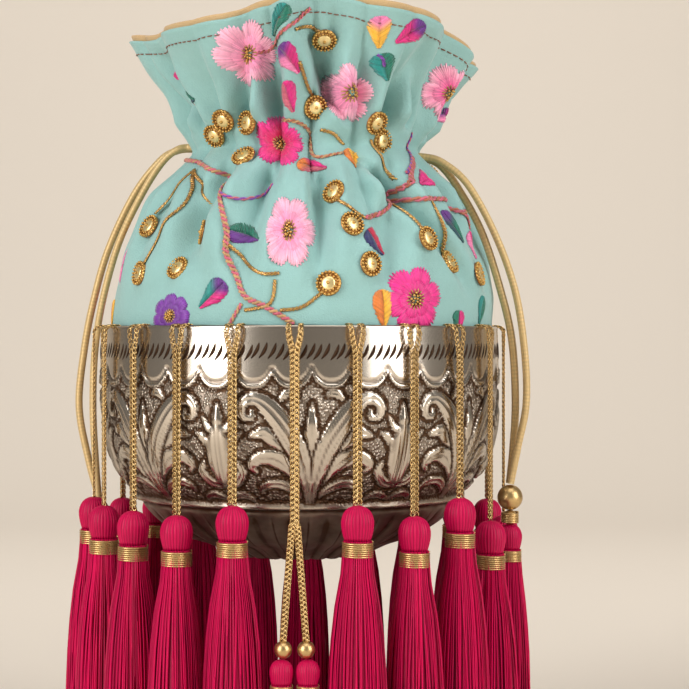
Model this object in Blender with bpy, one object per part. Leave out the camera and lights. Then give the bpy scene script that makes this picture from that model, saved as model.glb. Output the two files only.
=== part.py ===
"""Potli bag: a chased metal bowl with a gathered cloth top, two draw cords and a ring of chain tassels.

Frame: metres, +Z up, origin at the centre of the bowl's flat foot, front of the bag facing -Y.
Angles around the bag are measured from the front (-Y) towards +X.
"""
import math

import bmesh
import bpy
from mathutils import Vector

MM = 0.001

# Bowl
BOWL_WALL = 1.2 * MM
BOWL_OUTLINE_MM = (
    (65.0, 74.0), (65.3, 63.0), (65.3, 50.0), (64.4, 40.0), (61.7, 31.0), (58.4, 25.4),
    (54.2, 20.4), (46.9, 12.2), (38.3, 6.9), (30.7, 4.3), (25.4, 1.9), (22.0, 0.0), (0.0, 0.0),
)
RIM_HEIGHT = BOWL_OUTLINE_MM[0][1] * MM

# Cloth: radius at each height, and how deep the pleats are there
CLOTH_SIDES = 32
PLEATS = 8
FABRIC_THICKNESS = 1.0 * MM
FABRIC_OUTLINE_MM = (
    (57.0, 168.0, 3.0), (53.5, 160.0, 2.6), (46.5, 150.0, 2.2), (40.5, 142.0, 1.6), (37.2, 136.0, 0.6),
    (37.2, 128.0, 0.6), (42.0, 121.0, 1.0), (48.5, 113.0, 0.6), (55.5, 102.0, 0.3), (60.2, 90.0, 0.0),
    (62.4, 76.0, 0.0), (62.6, 66.0, 0.0),
)
LINING_THICKNESS = 0.8 * MM
LINING_OUTLINE_MM = (
    (55.6, 169.4, 3.0), (51.8, 160.0, 2.6), (43.6, 149.0, 2.0), (34.5, 142.0, 1.2), (29.0, 137.0, 0.4),
    (29.0, 127.0, 0.4), (39.0, 119.5, 0.7), (46.6, 112.0, 0.5), (53.4, 101.5, 0.2), (58.4, 89.5, 0.0),
    (60.9, 75.0, 0.0), (61.1, 64.0, 0.0), (62.9, 50.0, 0.0), (61.8, 39.0, 0.0), (56.6, 27.8, 0.0),
    (43.0, 13.8, 0.0), (28.0, 6.4, 0.0), (0.0, 3.4, 0.0),
)
HEM_RISE = 6.0 * MM
NECK_HEIGHT = 132.0 * MM

# Draw cords: each runs once round the casing at the neck and hangs as a loop from one side
CORD_DIAMETER = 2.5 * MM
CORD_POINT_SPACING = 3.0 * CORD_DIAMETER
CASING_RADIUS = 31.4 * MM
CASING_STEP_DEG = 20
SLIT_SIZE = (14.0 * MM, 16.0 * MM, 9.0 * MM)
TOUCH_GAP = 0.3 * MM
RIGHT_CASING_HEIGHT_MM = 129.9
LEFT_CASING_HEIGHT_MM = 134.0
RIGHT_FRONT_STRAND_MM = (
    (68.1, -15.5, 24.0), (70.6, -15.8, 36.5), (73.2, -15.4, 50.0), (72.7, -14.8, 67.0), (69.8, -13.8, 86.0),
    (63.6, -12.4, 104.0), (54.8, -10.9, 120.5), (46.6, -8.8, 128.0), (40.6, -7.6, 129.9), (35.6, -8.0, 129.9),
)
RIGHT_REAR_STRAND_MM = (
    (33.6, 3.4, 129.9), (37.0, -0.8, 129.9), (41.4, -3.2, 129.7), (46.2, -5.4, 127.2), (51.8, -8.0, 119.6), (59.4, -9.8, 105.0),
    (65.4, -11.2, 86.0), (68.9, -12.0, 70.0), (70.0, -12.4, 50.5), (69.2, -12.6, 35.0), (68.1, -12.5, 24.0),
)
LEFT_FRONT_STRAND_MM = (
    (-67.6, 9.3, 16.4), (-68.6, 8.9, 30.0), (-69.4, 8.4, 48.0), (-68.6, 7.6, 67.0), (-65.8, 6.6, 84.0),
    (-60.2, 5.0, 103.0), (-52.2, 2.6, 119.0), (-45.6, 1.4, 129.0), (-40.4, 0.6, 133.2), (-35.6, 0.2, 134.0),
)
LEFT_REAR_STRAND_MM = (
    (-32.2, 10.4, 134.0), (-36.2, 7.4, 134.0), (-41.0, 6.8, 133.4), (-46.6, 7.8, 130.4), (-55.4, 9.0, 119.4), (-64.2, 10.2, 101.4),
    (-69.4, 11.2, 84.0), (-72.8, 12.0, 67.0), (-74.6, 12.6, 48.0), (-71.4, 12.6, 30.0), (-67.6, 12.2, 16.4),
)

# Pulls at the ends of the draw cords
PULL_BEAD_RADIUS = 4.1 * MM
PULL_COLLAR_RADIUS = 3.0 * MM
PULL_COLLAR_HEIGHT = 4.0 * MM
RIGHT_BEAD_CENTRE = Vector((68.1, -14.0, 19.5)) * MM
LEFT_BEAD_CENTRE = Vector((-67.6, 10.7, 12.0)) * MM
PULL_TASSEL_OUTLINE_MM = (
    (1.2, 0.0), (3.6, -1.6), (4.1, -4.2), (3.2, -7.6), (3.1, -11.5), (4.8, -20.0), (6.0, -34.0), (6.2, -58.0),
)

# Chain tassels: angle round the rim and height of the top of the head
HANG_RADIUS = 68.0 * MM
HINGE_HEIGHT = 73.6 * MM
CHAIN_RADIUS = 1.3 * MM
CHAIN_TOP_DROP = 0.6 * MM
BACK_HEAD_TOP_MM = 16.0
STATIONS = (
    (16.0, 20.9), (32.0, 17.1), (48.0, 21.7), (64.0, 13.3), (92.0, 12.0),
    (109.6, BACK_HEAD_TOP_MM), (127.2, BACK_HEAD_TOP_MM), (144.8, BACK_HEAD_TOP_MM),
    (162.4, BACK_HEAD_TOP_MM), (180.0, BACK_HEAD_TOP_MM), (-164.0, BACK_HEAD_TOP_MM),
    (-147.0, BACK_HEAD_TOP_MM), (-130.0, BACK_HEAD_TOP_MM), (-114.0, BACK_HEAD_TOP_MM),
    (-84.0, 19.0), (-65.0, 18.0), (-48.0, 17.7), (-32.0, 17.4), (-16.0, 20.9),
)
TASSEL_OUTLINE_MM = (
    (1.3, 0.0), (4.2, -2.2), (4.9, -5.6), (3.8, -10.2), (3.7, -15.0), (6.6, -27.0), (8.5, -46.0), (9.2, -90.0),
)
TASSEL_SIDES = 8

# Centre drop: a doubled chain that parts into two strands, each with a bead and a small tassel
CENTRE_SPLIT_HEIGHT = 15.4 * MM
CENTRE_STRAND_RADIUS = 0.75 * MM
CENTRE_STRAND_OFFSET_MM = (1.0, 3.4)
CENTRE_BEAD_RADIUS = 2.65 * MM
CENTRE_BEAD_HEIGHT = -21.2 * MM
MINI_TASSEL_OFFSET = 4.1 * MM
MINI_TASSEL_OUTLINE_MM = (
    (0.9, 0.0), (2.9, -1.2), (3.6, -3.6), (2.8, -7.0), (2.7, -10.4), (3.4, -18.0), (3.8, -45.0),
)


def clear_scene():
    for thing in list(bpy.data.objects):
        bpy.data.objects.remove(thing, do_unlink=True)


def make_material(name, colour, roughness, metallic=0.0):
    mat = bpy.data.materials.new(name)
    mat.use_nodes = True
    shader = mat.node_tree.nodes["Principled BSDF"]
    shader.inputs["Base Color"].default_value = (*colour, 1.0)
    shader.inputs["Roughness"].default_value = roughness
    shader.inputs["Metallic"].default_value = metallic
    return mat


def add_object(name, data, mat, parent=None, location=(0.0, 0.0, 0.0)):
    thing = bpy.data.objects.new(name, data)
    bpy.context.scene.collection.objects.link(thing)
    if mat is not None:
        data.materials.append(mat)
    thing.parent = parent
    thing.location = location
    return thing


def mesh_from(bm, name):
    mesh = bpy.data.meshes.new(name)
    bm.to_mesh(mesh)
    bm.free()
    mesh.shade_smooth()
    mesh.set_sharp_from_angle(angle=math.radians(40.0))
    return mesh


def face_outward(bm):
    """Turns all faces so that they point away from the axis or the middle of the shape."""
    bmesh.ops.recalc_face_normals(bm, faces=bm.faces)
    middle = sum((v.co for v in bm.verts), Vector()) / len(bm.verts)
    outward = sum(f.normal.dot(f.calc_center_median() - middle) * f.calc_area() for f in bm.faces)
    if outward < 0.0:
        bmesh.ops.reverse_faces(bm, faces=bm.faces)


def turned(name, outline_mm, sides):
    """A turned shape: the outline runs from top to bottom and is closed at both ends on the axis."""
    bm = bmesh.new()
    line = [Vector((radius, 0.0, height)) * MM for radius, height in outline_mm]
    if outline_mm[0][0] > 0.0:
        line.insert(0, Vector((0.0, 0.0, outline_mm[0][1] * MM)))
    if outline_mm[-1][0] > 0.0:
        line.append(Vector((0.0, 0.0, outline_mm[-1][1] * MM)))
    verts = [bm.verts.new(point) for point in line]
    edges = [bm.edges.new(pair) for pair in zip(verts, verts[1:])]
    bmesh.ops.spin(bm, geom=verts + edges, axis=(0, 0, 1), cent=(0, 0, 0), angle=math.tau,
                   steps=sides, use_merge=True)
    bmesh.ops.remove_doubles(bm, verts=bm.verts, dist=0.001 * MM)
    face_outward(bm)
    return mesh_from(bm, name)


def open_shell(name, outline_mm, sides, pleats=0):
    """A thin skin turned round the axis, with optional pleats and a hem that rises at front and back."""
    bm = bmesh.new()
    top = outline_mm[0][1]
    rows = []
    for radius, height, depth in outline_mm:
        if radius == 0.0:
            rows.append([bm.verts.new((0.0, 0.0, height * MM))] * sides)
            continue
        lift = max(0.0, (height * MM - NECK_HEIGHT) / (top * MM - NECK_HEIGHT)) ** 2 if pleats else 0.0
        row = []
        for side in range(sides):
            angle = math.tau * side / sides
            reach = (radius + depth * math.cos(pleats * angle)) * MM
            rise = lift * HEM_RISE * math.cos(2.0 * angle)
            row.append(bm.verts.new((reach * math.sin(angle), -reach * math.cos(angle), height * MM + rise)))
        rows.append(row)
    for upper, lower in zip(rows, rows[1:]):
        for side in range(sides):
            after = (side + 1) % sides
            corners = (upper[side], lower[side], lower[after], upper[after])
            bm.faces.new(tuple(dict.fromkeys(corners)))
    face_outward(bm)
    return mesh_from(bm, name)


def thicken(thing, thickness):
    wall = thing.modifiers.new("wall", "SOLIDIFY")
    wall.thickness = thickness
    wall.offset = -1.0
    wall.use_even_offset = True


def smooth_points(route, spacing):
    """Points at an even spacing along a smooth curve through the route's own points."""
    fine = []
    for index in range(len(route) - 1):
        before = route[max(index - 1, 0)]
        start = route[index]
        end = route[index + 1]
        after = route[min(index + 2, len(route) - 1)]
        for part in range(16):
            t = part / 16.0
            fine.append(0.5 * (2.0 * start + (end - before) * t
                               + (2.0 * before - 5.0 * start + 4.0 * end - after) * t * t
                               + (3.0 * start - before - 3.0 * end + after) * t ** 3))
    fine.append(route[-1])
    length = sum((b - a).length for a, b in zip(fine, fine[1:]))
    count = max(2, round(length / spacing))
    points = [fine[0]]
    travelled = 0.0
    for a, b in zip(fine, fine[1:]):
        step = (b - a).length
        while len(points) < count and travelled + step >= length * len(points) / count:
            share = (length * len(points) / count - travelled) / step
            points.append(a.lerp(b, share))
        travelled += step
    points.append(fine[-1])
    return points


def tube(name, route, radius, spacing, mat):
    curve = bpy.data.curves.new(name, "CURVE")
    curve.dimensions = "3D"
    curve.bevel_depth = radius
    curve.bevel_resolution = 2
    curve.use_fill_caps = True
    points = smooth_points(route, spacing)
    spline = curve.splines.new("POLY")
    spline.points.add(len(points) - 1)
    for point, place in zip(spline.points, points):
        point.co = (*place, 1.0)
    return add_object(name, curve, mat)


def casing_run(start_deg, end_deg, height_mm):
    """The cord's way round the neck, from one side of its slit to the other."""
    steps = round(abs(end_deg - start_deg) / CASING_STEP_DEG)
    points = []
    for step in range(steps + 1):
        angle = math.radians(start_deg + (end_deg - start_deg) * step / steps)
        points.append(Vector((CASING_RADIUS * math.sin(angle), -CASING_RADIUS * math.cos(angle),
                              height_mm * MM)))
    return points


def in_metres(points_mm):
    return [Vector(point) * MM for point in points_mm]


def build_bowl(mat):
    outline = [(radius, height, 0.0) for radius, height in BOWL_OUTLINE_MM]
    bowl = add_object("bowl", open_shell("bowl", outline, CLOTH_SIDES), mat)
    thicken(bowl, BOWL_WALL)


def build_cloth(fabric_mat, lining_mat):
    fabric = add_object("outer_fabric", open_shell("outer_fabric", FABRIC_OUTLINE_MM, CLOTH_SIDES, PLEATS),
                        fabric_mat)
    thicken(fabric, FABRIC_THICKNESS)
    lining = add_object("lining", open_shell("lining", LINING_OUTLINE_MM, CLOTH_SIDES, PLEATS), lining_mat)
    thicken(lining, LINING_THICKNESS)
    slits = (("slit_right", 38.0, -4.0, RIGHT_CASING_HEIGHT_MM), ("slit_left", -38.0, 4.0, LEFT_CASING_HEIGHT_MM))
    for name, x_mm, y_mm, z_mm in slits:
        bm = bmesh.new()
        bmesh.ops.create_cube(bm, size=1.0)
        bmesh.ops.scale(bm, vec=SLIT_SIZE, verts=bm.verts)
        cutter = add_object(name, mesh_from(bm, name), None, location=Vector((x_mm, y_mm, z_mm)) * MM)
        cutter.hide_render = True
        cutter.display_type = "WIRE"
        cut = fabric.modifiers.new(name, "BOOLEAN")
        cut.operation = "DIFFERENCE"
        cut.object = cutter


def build_draw_cords(mat):
    right = (in_metres(RIGHT_FRONT_STRAND_MM) + casing_run(58.0, -248.0, RIGHT_CASING_HEIGHT_MM)
             + in_metres(RIGHT_REAR_STRAND_MM))
    tube("drawcord_right", right, CORD_DIAMETER / 2.0, CORD_POINT_SPACING, mat)
    left = (in_metres(LEFT_FRONT_STRAND_MM) + casing_run(-70.0, 238.0, LEFT_CASING_HEIGHT_MM)
            + in_metres(LEFT_REAR_STRAND_MM))
    tube("drawcord_left", left, CORD_DIAMETER / 2.0, CORD_POINT_SPACING, mat)


def ball(name, radius, segments, rings):
    bm = bmesh.new()
    bmesh.ops.create_uvsphere(bm, u_segments=segments, v_segments=rings, radius=radius)
    return mesh_from(bm, name)


def rod(name, radius, length, sides):
    """A straight rod that hangs down from its origin."""
    return turned(name, ((radius / MM, 0.0), (radius / MM, -length / MM)), sides)


def build_pull(side, bead_centre, bead_mat, silk_mat):
    add_object("pull_bead_" + side, ball("pull_bead", PULL_BEAD_RADIUS, 12, 8), bead_mat, location=bead_centre)
    collar_top = bead_centre - Vector((0.0, 0.0, PULL_BEAD_RADIUS + TOUCH_GAP))
    add_object("pull_collar_" + side, rod("pull_collar", PULL_COLLAR_RADIUS, PULL_COLLAR_HEIGHT, 10), bead_mat,
               location=collar_top)
    tassel_top = collar_top - Vector((0.0, 0.0, PULL_COLLAR_HEIGHT + TOUCH_GAP))
    add_object("pull_tassel_" + side, turned("pull_tassel", PULL_TASSEL_OUTLINE_MM, TASSEL_SIDES), silk_mat,
               location=tassel_top)


def hinge(name, angle_deg):
    """An empty on the rim; its local -Y points away from the bag and its local X lies along the rim."""
    angle = math.radians(angle_deg)
    empty = bpy.data.objects.new(name, None)
    bpy.context.scene.collection.objects.link(empty)
    empty.location = (HANG_RADIUS * math.sin(angle), -HANG_RADIUS * math.cos(angle), HINGE_HEIGHT)
    empty.rotation_euler = (0.0, 0.0, angle)
    return empty


def build_chain_tassels(chain_mat, silk_mat):
    tassel_mesh = turned("tassel", TASSEL_OUTLINE_MM, TASSEL_SIDES)
    for number, (angle_deg, head_top_mm) in enumerate(STATIONS, start=1):
        label = f"{number:02d}"
        pivot = hinge("rim_hinge_" + label, angle_deg)
        drop = HINGE_HEIGHT - head_top_mm * MM
        length = drop - CHAIN_TOP_DROP - TOUCH_GAP
        add_object("chain_" + label, rod("chain_" + label, CHAIN_RADIUS, length, TASSEL_SIDES), chain_mat,
                   parent=pivot, location=(0.0, 0.0, -CHAIN_TOP_DROP))
        add_object("tassel_" + label, tassel_mesh, silk_mat if number == 1 else None, parent=pivot,
                   location=(0.0, 0.0, -drop))


def build_centre_drop(chain_mat, bead_mat, silk_mat):
    pivot = hinge("rim_hinge_centre", 0.0)
    split_drop = HINGE_HEIGHT - CENTRE_SPLIT_HEIGHT
    length = split_drop - CHAIN_TOP_DROP - TOUCH_GAP
    add_object("centre_chain", rod("centre_chain", CHAIN_RADIUS, length, TASSEL_SIDES), chain_mat,
               parent=pivot, location=(0.0, 0.0, -CHAIN_TOP_DROP))
    strand_end = CENTRE_BEAD_HEIGHT + CENTRE_BEAD_RADIUS + TOUCH_GAP
    bead_drop = HINGE_HEIGHT - CENTRE_BEAD_HEIGHT
    tassel_drop = bead_drop + CENTRE_BEAD_RADIUS + TOUCH_GAP
    for side, sign in (("left", -1.0), ("right", 1.0)):
        near, far = (sign * offset * MM for offset in CENTRE_STRAND_OFFSET_MM)
        route = [Vector((near, 0.0, CENTRE_SPLIT_HEIGHT - HINGE_HEIGHT)),
                 Vector((far, 0.0, strand_end - HINGE_HEIGHT))]
        strand = tube("centre_strand_" + side, route, CENTRE_STRAND_RADIUS, 12.0 * MM, chain_mat)
        strand.parent = pivot
        add_object("centre_bead_" + side, ball("centre_bead", CENTRE_BEAD_RADIUS, 10, 6), bead_mat,
                   parent=pivot, location=(far, 0.0, -bead_drop))
        add_object("mini_tassel_" + side, turned("mini_tassel", MINI_TASSEL_OUTLINE_MM, TASSEL_SIDES), silk_mat,
                   parent=pivot, location=(sign * MINI_TASSEL_OFFSET, 0.0, -tassel_drop))


def build():
    clear_scene()
    silver = make_material("oxidised_silver", (0.42, 0.38, 0.33), 0.28, 1.0)
    aqua = make_material("aqua_cloth", (0.26, 0.55, 0.53), 0.85)
    beige = make_material("beige_cloth", (0.52, 0.38, 0.22), 0.85)
    cord_gold = make_material("gold_cord", (0.60, 0.42, 0.16), 0.55)
    bead_gold = make_material("gold_bead", (0.80, 0.58, 0.28), 0.25, 1.0)
    chain_gold = make_material("gold_chain", (0.70, 0.48, 0.18), 0.30, 1.0)
    magenta = make_material("magenta_silk", (0.52, 0.01, 0.10), 0.45)
    build_bowl(silver)
    build_cloth(aqua, beige)
    build_draw_cords(cord_gold)
    build_pull("right", RIGHT_BEAD_CENTRE, bead_gold, magenta)
    build_pull("left", LEFT_BEAD_CENTRE, bead_gold, magenta)
    build_centre_drop(chain_gold, bead_gold, magenta)
    build_chain_tassels(chain_gold, magenta)


build()
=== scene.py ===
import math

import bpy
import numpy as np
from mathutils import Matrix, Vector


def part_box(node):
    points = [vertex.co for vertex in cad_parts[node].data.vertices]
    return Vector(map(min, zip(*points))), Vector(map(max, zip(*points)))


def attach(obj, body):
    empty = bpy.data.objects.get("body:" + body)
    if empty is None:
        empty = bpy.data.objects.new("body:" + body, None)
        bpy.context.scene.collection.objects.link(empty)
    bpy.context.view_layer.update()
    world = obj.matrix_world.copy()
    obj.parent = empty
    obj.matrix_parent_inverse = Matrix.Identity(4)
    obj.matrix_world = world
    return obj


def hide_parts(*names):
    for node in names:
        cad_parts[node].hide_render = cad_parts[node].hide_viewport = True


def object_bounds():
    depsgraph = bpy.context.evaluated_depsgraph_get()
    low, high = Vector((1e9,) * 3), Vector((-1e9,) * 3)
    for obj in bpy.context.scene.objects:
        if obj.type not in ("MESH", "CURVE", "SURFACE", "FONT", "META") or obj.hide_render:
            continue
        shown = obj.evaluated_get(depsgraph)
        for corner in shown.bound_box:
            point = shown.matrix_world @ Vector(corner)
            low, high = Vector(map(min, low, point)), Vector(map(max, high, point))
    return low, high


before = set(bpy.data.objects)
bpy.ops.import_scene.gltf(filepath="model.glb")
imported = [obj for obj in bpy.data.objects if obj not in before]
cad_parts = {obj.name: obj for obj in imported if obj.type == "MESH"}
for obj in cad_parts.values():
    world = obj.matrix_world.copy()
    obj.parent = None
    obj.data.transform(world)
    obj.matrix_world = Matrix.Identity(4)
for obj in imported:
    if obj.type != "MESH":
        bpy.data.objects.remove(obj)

# %% [markdown]
# # A potli bag
# A potli is a small drawstring bag. This one has a chased metal bowl as its lower half, a gathered and
# embroidered cloth top, two draw cords, and a ring of chains that each carry a silk tassel.
# The construction frame is loaded already. The bag's bowl stands with its flat foot at z = 0, the front
# faces -Y, and angles round the bag are counted from the front towards +X.

MM = 0.001
TAU = math.tau
cad_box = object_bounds()
rim_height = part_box("bowl")[1].z
print("CAD box", [tuple(round(v, 4) for v in corner) for corner in cad_box])


def linear(red, green, blue):
    """A colour given as 0 to 255 screen values, as the linear values that shaders expect."""
    parts = (value / 255.0 for value in (red, green, blue))
    return tuple(p / 12.92 if p <= 0.04045 else ((p + 0.055) / 1.055) ** 2.4 for p in parts)


def smoothstep(low, high, value):
    share = np.clip((value - low) / (high - low), 0.0, 1.0)
    return share * share * (3.0 - 2.0 * share)


# %% [markdown]
# ## Camera
# The camera stands level, a little below the rim's height, about 0.63 m away. A long lens keeps the
# proportions calm, as in a product picture. The bag stands left of the middle of the frame.

# %% Camera
CAMERA_DISTANCE = 0.6316
CAMERA_SIDE = 14.7 * MM
LENS_MM = 100.0

camera_data = bpy.data.cameras.new("camera")
camera_data.lens = LENS_MM
camera_data.sensor_width = 36.0
camera_data.clip_start = 0.01
camera = bpy.data.objects.new("camera", camera_data)
camera.location = (CAMERA_SIDE, -CAMERA_DISTANCE, rim_height - 5.2 * MM)
camera.rotation_euler = (math.radians(90.0), 0.0, 0.0)
bpy.context.scene.collection.objects.link(camera)
bpy.context.scene.camera = camera

# %% [markdown]
# ## Mesh helpers
# Thousands of threads, links and beads make up this bag. Writing each with operators would be slow, so
# a few helpers build many at once with numpy arrays: a grid skin, swept tubes and small turned shapes.
# A mesh built this way is exact, and it can carry a colour for each point, which the thread materials read.

# %% Mesh from arrays


def mesh_object(name, verts, faces, finish, tint=None, masks=None):
    """A mesh object from an array of points and a list of face arrays, each with its own corner count."""
    faces = [np.asarray(block, np.int32) for block in (faces if isinstance(faces, list) else [faces])]
    mesh = bpy.data.meshes.new(name)
    verts = np.asarray(verts, np.float32)
    mesh.vertices.add(len(verts))
    mesh.vertices.foreach_set("co", verts.ravel())
    corners = np.concatenate([block.ravel() for block in faces])
    counts = np.concatenate([np.full(len(block), block.shape[1], np.int32) for block in faces])
    mesh.loops.add(len(corners))
    mesh.loops.foreach_set("vertex_index", corners)
    mesh.polygons.add(len(counts))
    mesh.polygons.foreach_set("loop_start", np.concatenate([[0], np.cumsum(counts)[:-1]]).astype(np.int32))
    mesh.update(calc_edges=True)
    mesh.validate()
    mesh.shade_smooth()
    if tint is not None:
        colours = np.ones((len(verts), 4), np.float32)
        colours[:, :3] = tint
        layer = mesh.color_attributes.new(name="tint", type="FLOAT_COLOR", domain="POINT")
        layer.data.foreach_set("color", colours.ravel())
    for mask, values in (masks or {}).items():
        layer = mesh.attributes.new(mask, "FLOAT", "POINT")
        layer.data.foreach_set("value", np.asarray(values, np.float32).ravel())
    mesh.materials.append(finish)
    thing = bpy.data.objects.new(name, mesh)
    bpy.context.scene.collection.objects.link(thing)
    return thing


def grid_quads(rows, columns, closed=True):
    """Faces of a grid of points whose rows run downwards and whose columns run round the bag."""
    row = np.arange(rows - 1)[:, None]
    column = np.arange(columns if closed else columns - 1)[None, :]
    here = row * columns + column
    beside = row * columns + (column + 1) % columns
    return np.stack([here, here + columns, beside + columns, beside], -1).reshape(-1, 4)


def unit(vectors):
    return vectors / np.maximum(np.linalg.norm(vectors, axis=-1, keepdims=True), 1e-12)


def sweep(paths, ups, widths, heights, corners):
    """Capped tubes along many paths at once: paths and ups are (tubes, points, 3), sizes (tubes, points)."""
    tubes, points = paths.shape[:2]
    along = unit(np.gradient(paths, axis=1))
    sides = unit(np.cross(ups, along))
    ups = np.cross(along, sides)
    turn = np.arange(corners) * TAU / corners
    across = sides[:, :, None] * (widths[..., None] * np.cos(turn))[..., None]
    rising = ups[:, :, None] * (heights[..., None] * np.sin(turn))[..., None]
    verts = (paths[:, :, None] + across + rising).reshape(-1, 3)
    base = ((np.arange(tubes) * points)[:, None, None] + np.arange(points - 1)[None, :, None]) * corners
    corner = np.arange(corners)[None, None, :]
    after = (corner + 1) % corners
    walls = np.stack([base + corner, base + after, base + corners + after, base + corners + corner], -1)
    first = (np.arange(tubes) * points * corners)[:, None]
    starts = first + np.arange(corners)[::-1]
    ends = first + (points - 1) * corners + np.arange(corners)
    return verts, [walls.reshape(-1, 4), starts, ends]


def gather(blocks):
    """Several (verts, faces) blocks joined into one."""
    verts, faces, start = [], [], 0
    for points, block_faces in blocks:
        verts.append(points)
        faces += [block + start for block in block_faces]
        start += len(points)
    return np.concatenate(verts), faces


def copies(points, faces, places):
    """One small shape at many places. places is (count, 4, 3): the origin and three axis vectors."""
    verts = places[:, None, 0] + np.einsum("pk,ckj->cpj", points, places[:, 1:])
    starts = (np.arange(len(places)) * len(points))[:, None, None]
    return verts.reshape(-1, 3), [(block[None] + starts).reshape(-1, block.shape[1]) for block in faces]


def smooth_line(points, step):
    """Evenly spaced points on a smooth curve through the given ones."""
    points = np.asarray(points, float)
    padded = np.vstack([points[0], points, points[-1]])
    share = np.linspace(0.0, 1.0, 24, endpoint=False)[:, None]
    runs = []
    for a, b, c, d in zip(padded, padded[1:], padded[2:], padded[3:]):
        runs.append(0.5 * (2 * b + (c - a) * share + (2 * a - 5 * b + 4 * c - d) * share ** 2
                           + (3 * b - a - 3 * c + d) * share ** 3))
    fine = np.vstack(runs + [points[-1:]])
    travelled = np.concatenate([[0.0], np.cumsum(np.linalg.norm(np.diff(fine, axis=0), axis=1))])
    stops = np.linspace(0.0, travelled[-1], max(2, round(travelled[-1] / step)) + 1)
    return np.stack([np.interp(stops, travelled, fine[:, k]) for k in range(fine.shape[1])], -1)


def ball(segments, rings):
    """Points and faces of a ball of radius 1 with its poles on the third axis."""
    polar = np.linspace(0.0, math.pi, rings + 1)[1:-1]
    turn = np.arange(segments) * TAU / segments
    body = np.stack([np.outer(np.sin(polar), np.cos(turn)), np.outer(np.sin(polar), np.sin(turn)),
                     np.outer(np.cos(polar), np.ones(segments))], -1).reshape(-1, 3)
    points = np.vstack([body, [[0, 0, 1], [0, 0, -1]]])
    ring = np.arange(segments)
    after = (ring + 1) % segments
    last = (rings - 2) * segments
    top = np.stack([np.full(segments, len(body)), ring, after], -1)
    bottom = np.stack([np.full(segments, len(body) + 1), last + after, last + ring], -1)
    return points, [grid_quads(rings - 1, segments), top, bottom]


def link(long_radius, short_radius, wire_radius, around, corners):
    """An oval ring of wire in the first and third axes."""
    turn = np.arange(around) * TAU / around
    centre = np.stack([short_radius * np.cos(turn), 0 * turn, long_radius * np.sin(turn)], -1)
    outward = unit(np.stack([np.cos(turn), 0 * turn, np.sin(turn)], -1))
    side = np.array([0.0, 1.0, 0.0])
    ring = np.arange(corners) * TAU / corners
    section = outward[:, None] * np.cos(ring)[:, None] + side * np.sin(ring)[:, None]
    points = centre[:, None] + wire_radius * section
    here = np.arange(around)[:, None] * corners + np.arange(corners)
    beside = np.arange(around)[:, None] * corners + (np.arange(corners) + 1) % corners
    count = around * corners
    quads = np.stack([here, beside, (beside + corners) % count, (here + corners) % count], -1)
    return points.reshape(-1, 3), [quads.reshape(-1, 4)]


print("helpers ready")

# %% [markdown]
# ## Draw cords
# Each draw cord is one length of satin braid. It runs once round the casing at the neck, and both its
# ends leave the same side and hang as a long loop down to a bead. The route is a list of points that a
# smooth curve passes through, so the cord keeps its real length. The routes come first, and the braid
# along them is shaped near the end, as crossed ribs on a fine tube.

# %% Routes of the draw cords
CORD_DIAMETER = 2.5 * MM
CASING_RADIUS = 31.4 * MM
RIGHT_CASING_HEIGHT_MM = 129.9
LEFT_CASING_HEIGHT_MM = 134.0
RIGHT_FRONT_STRAND_MM = (
    (68.1, -15.5, 24.0), (70.6, -15.8, 36.5), (73.2, -15.4, 50.0), (72.7, -14.8, 67.0), (69.8, -13.8, 86.0),
    (63.6, -12.4, 104.0), (54.8, -10.9, 120.5), (46.6, -8.8, 128.0), (40.6, -7.6, 129.9), (35.6, -8.0, 129.9),
)
RIGHT_REAR_STRAND_MM = (
    (33.6, 3.4, 129.9), (37.0, -0.8, 129.9), (41.4, -3.2, 129.7), (46.2, -5.4, 127.2), (51.8, -8.0, 119.6),
    (59.4, -9.8, 105.0), (65.4, -11.2, 86.0), (68.9, -12.0, 70.0), (70.0, -12.4, 50.5), (69.2, -12.6, 35.0),
    (68.1, -12.5, 24.0),
)
LEFT_FRONT_STRAND_MM = (
    (-67.6, 9.3, 16.4), (-68.6, 8.9, 30.0), (-69.4, 8.4, 48.0), (-68.6, 7.6, 67.0), (-65.8, 6.6, 84.0),
    (-60.2, 5.0, 103.0), (-52.2, 2.6, 119.0), (-45.6, 1.4, 129.0), (-40.4, 0.6, 133.2), (-35.6, 0.2, 134.0),
)
LEFT_REAR_STRAND_MM = (
    (-32.2, 10.4, 134.0), (-36.2, 7.4, 134.0), (-41.0, 6.8, 133.4), (-46.6, 7.8, 130.4), (-55.4, 9.0, 119.4),
    (-64.2, 10.2, 101.4), (-69.4, 11.2, 84.0), (-72.8, 12.0, 67.0), (-74.6, 12.6, 48.0), (-71.4, 12.6, 30.0),
    (-67.6, 12.2, 16.4),
)


def casing_run(start_deg, end_deg, height_mm):
    angles = np.radians(np.linspace(start_deg, end_deg, round(abs(end_deg - start_deg) / 20) + 1))
    reach = CASING_RADIUS / MM
    return np.stack([reach * np.sin(angles), -reach * np.cos(angles), np.full(len(angles), height_mm)], -1)


cord_routes = {
    "right": np.vstack([RIGHT_FRONT_STRAND_MM, casing_run(58.0, -248.0, RIGHT_CASING_HEIGHT_MM),
                        RIGHT_REAR_STRAND_MM]) * MM,
    "left": np.vstack([LEFT_FRONT_STRAND_MM, casing_run(-70.0, 238.0, LEFT_CASING_HEIGHT_MM),
                       LEFT_REAR_STRAND_MM]) * MM,
}

# %% [markdown]
# ## Studio
# A pale warm sweep stands in for floor and wall: the floor curves up into the backdrop, so no edge
# shows behind the bag. Two tall soft lights stand at the front left and the front right, where the
# polished bowl mirrors them as two bright upright patches, and a third from above fills the gathers.
# A fourth light shines on the backdrop alone, so that the bag stands clear of it.

# %% Sweep and lights
FLOOR_DROP = 8.0 * MM
SWEEP_WIDTH = 6.0


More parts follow.
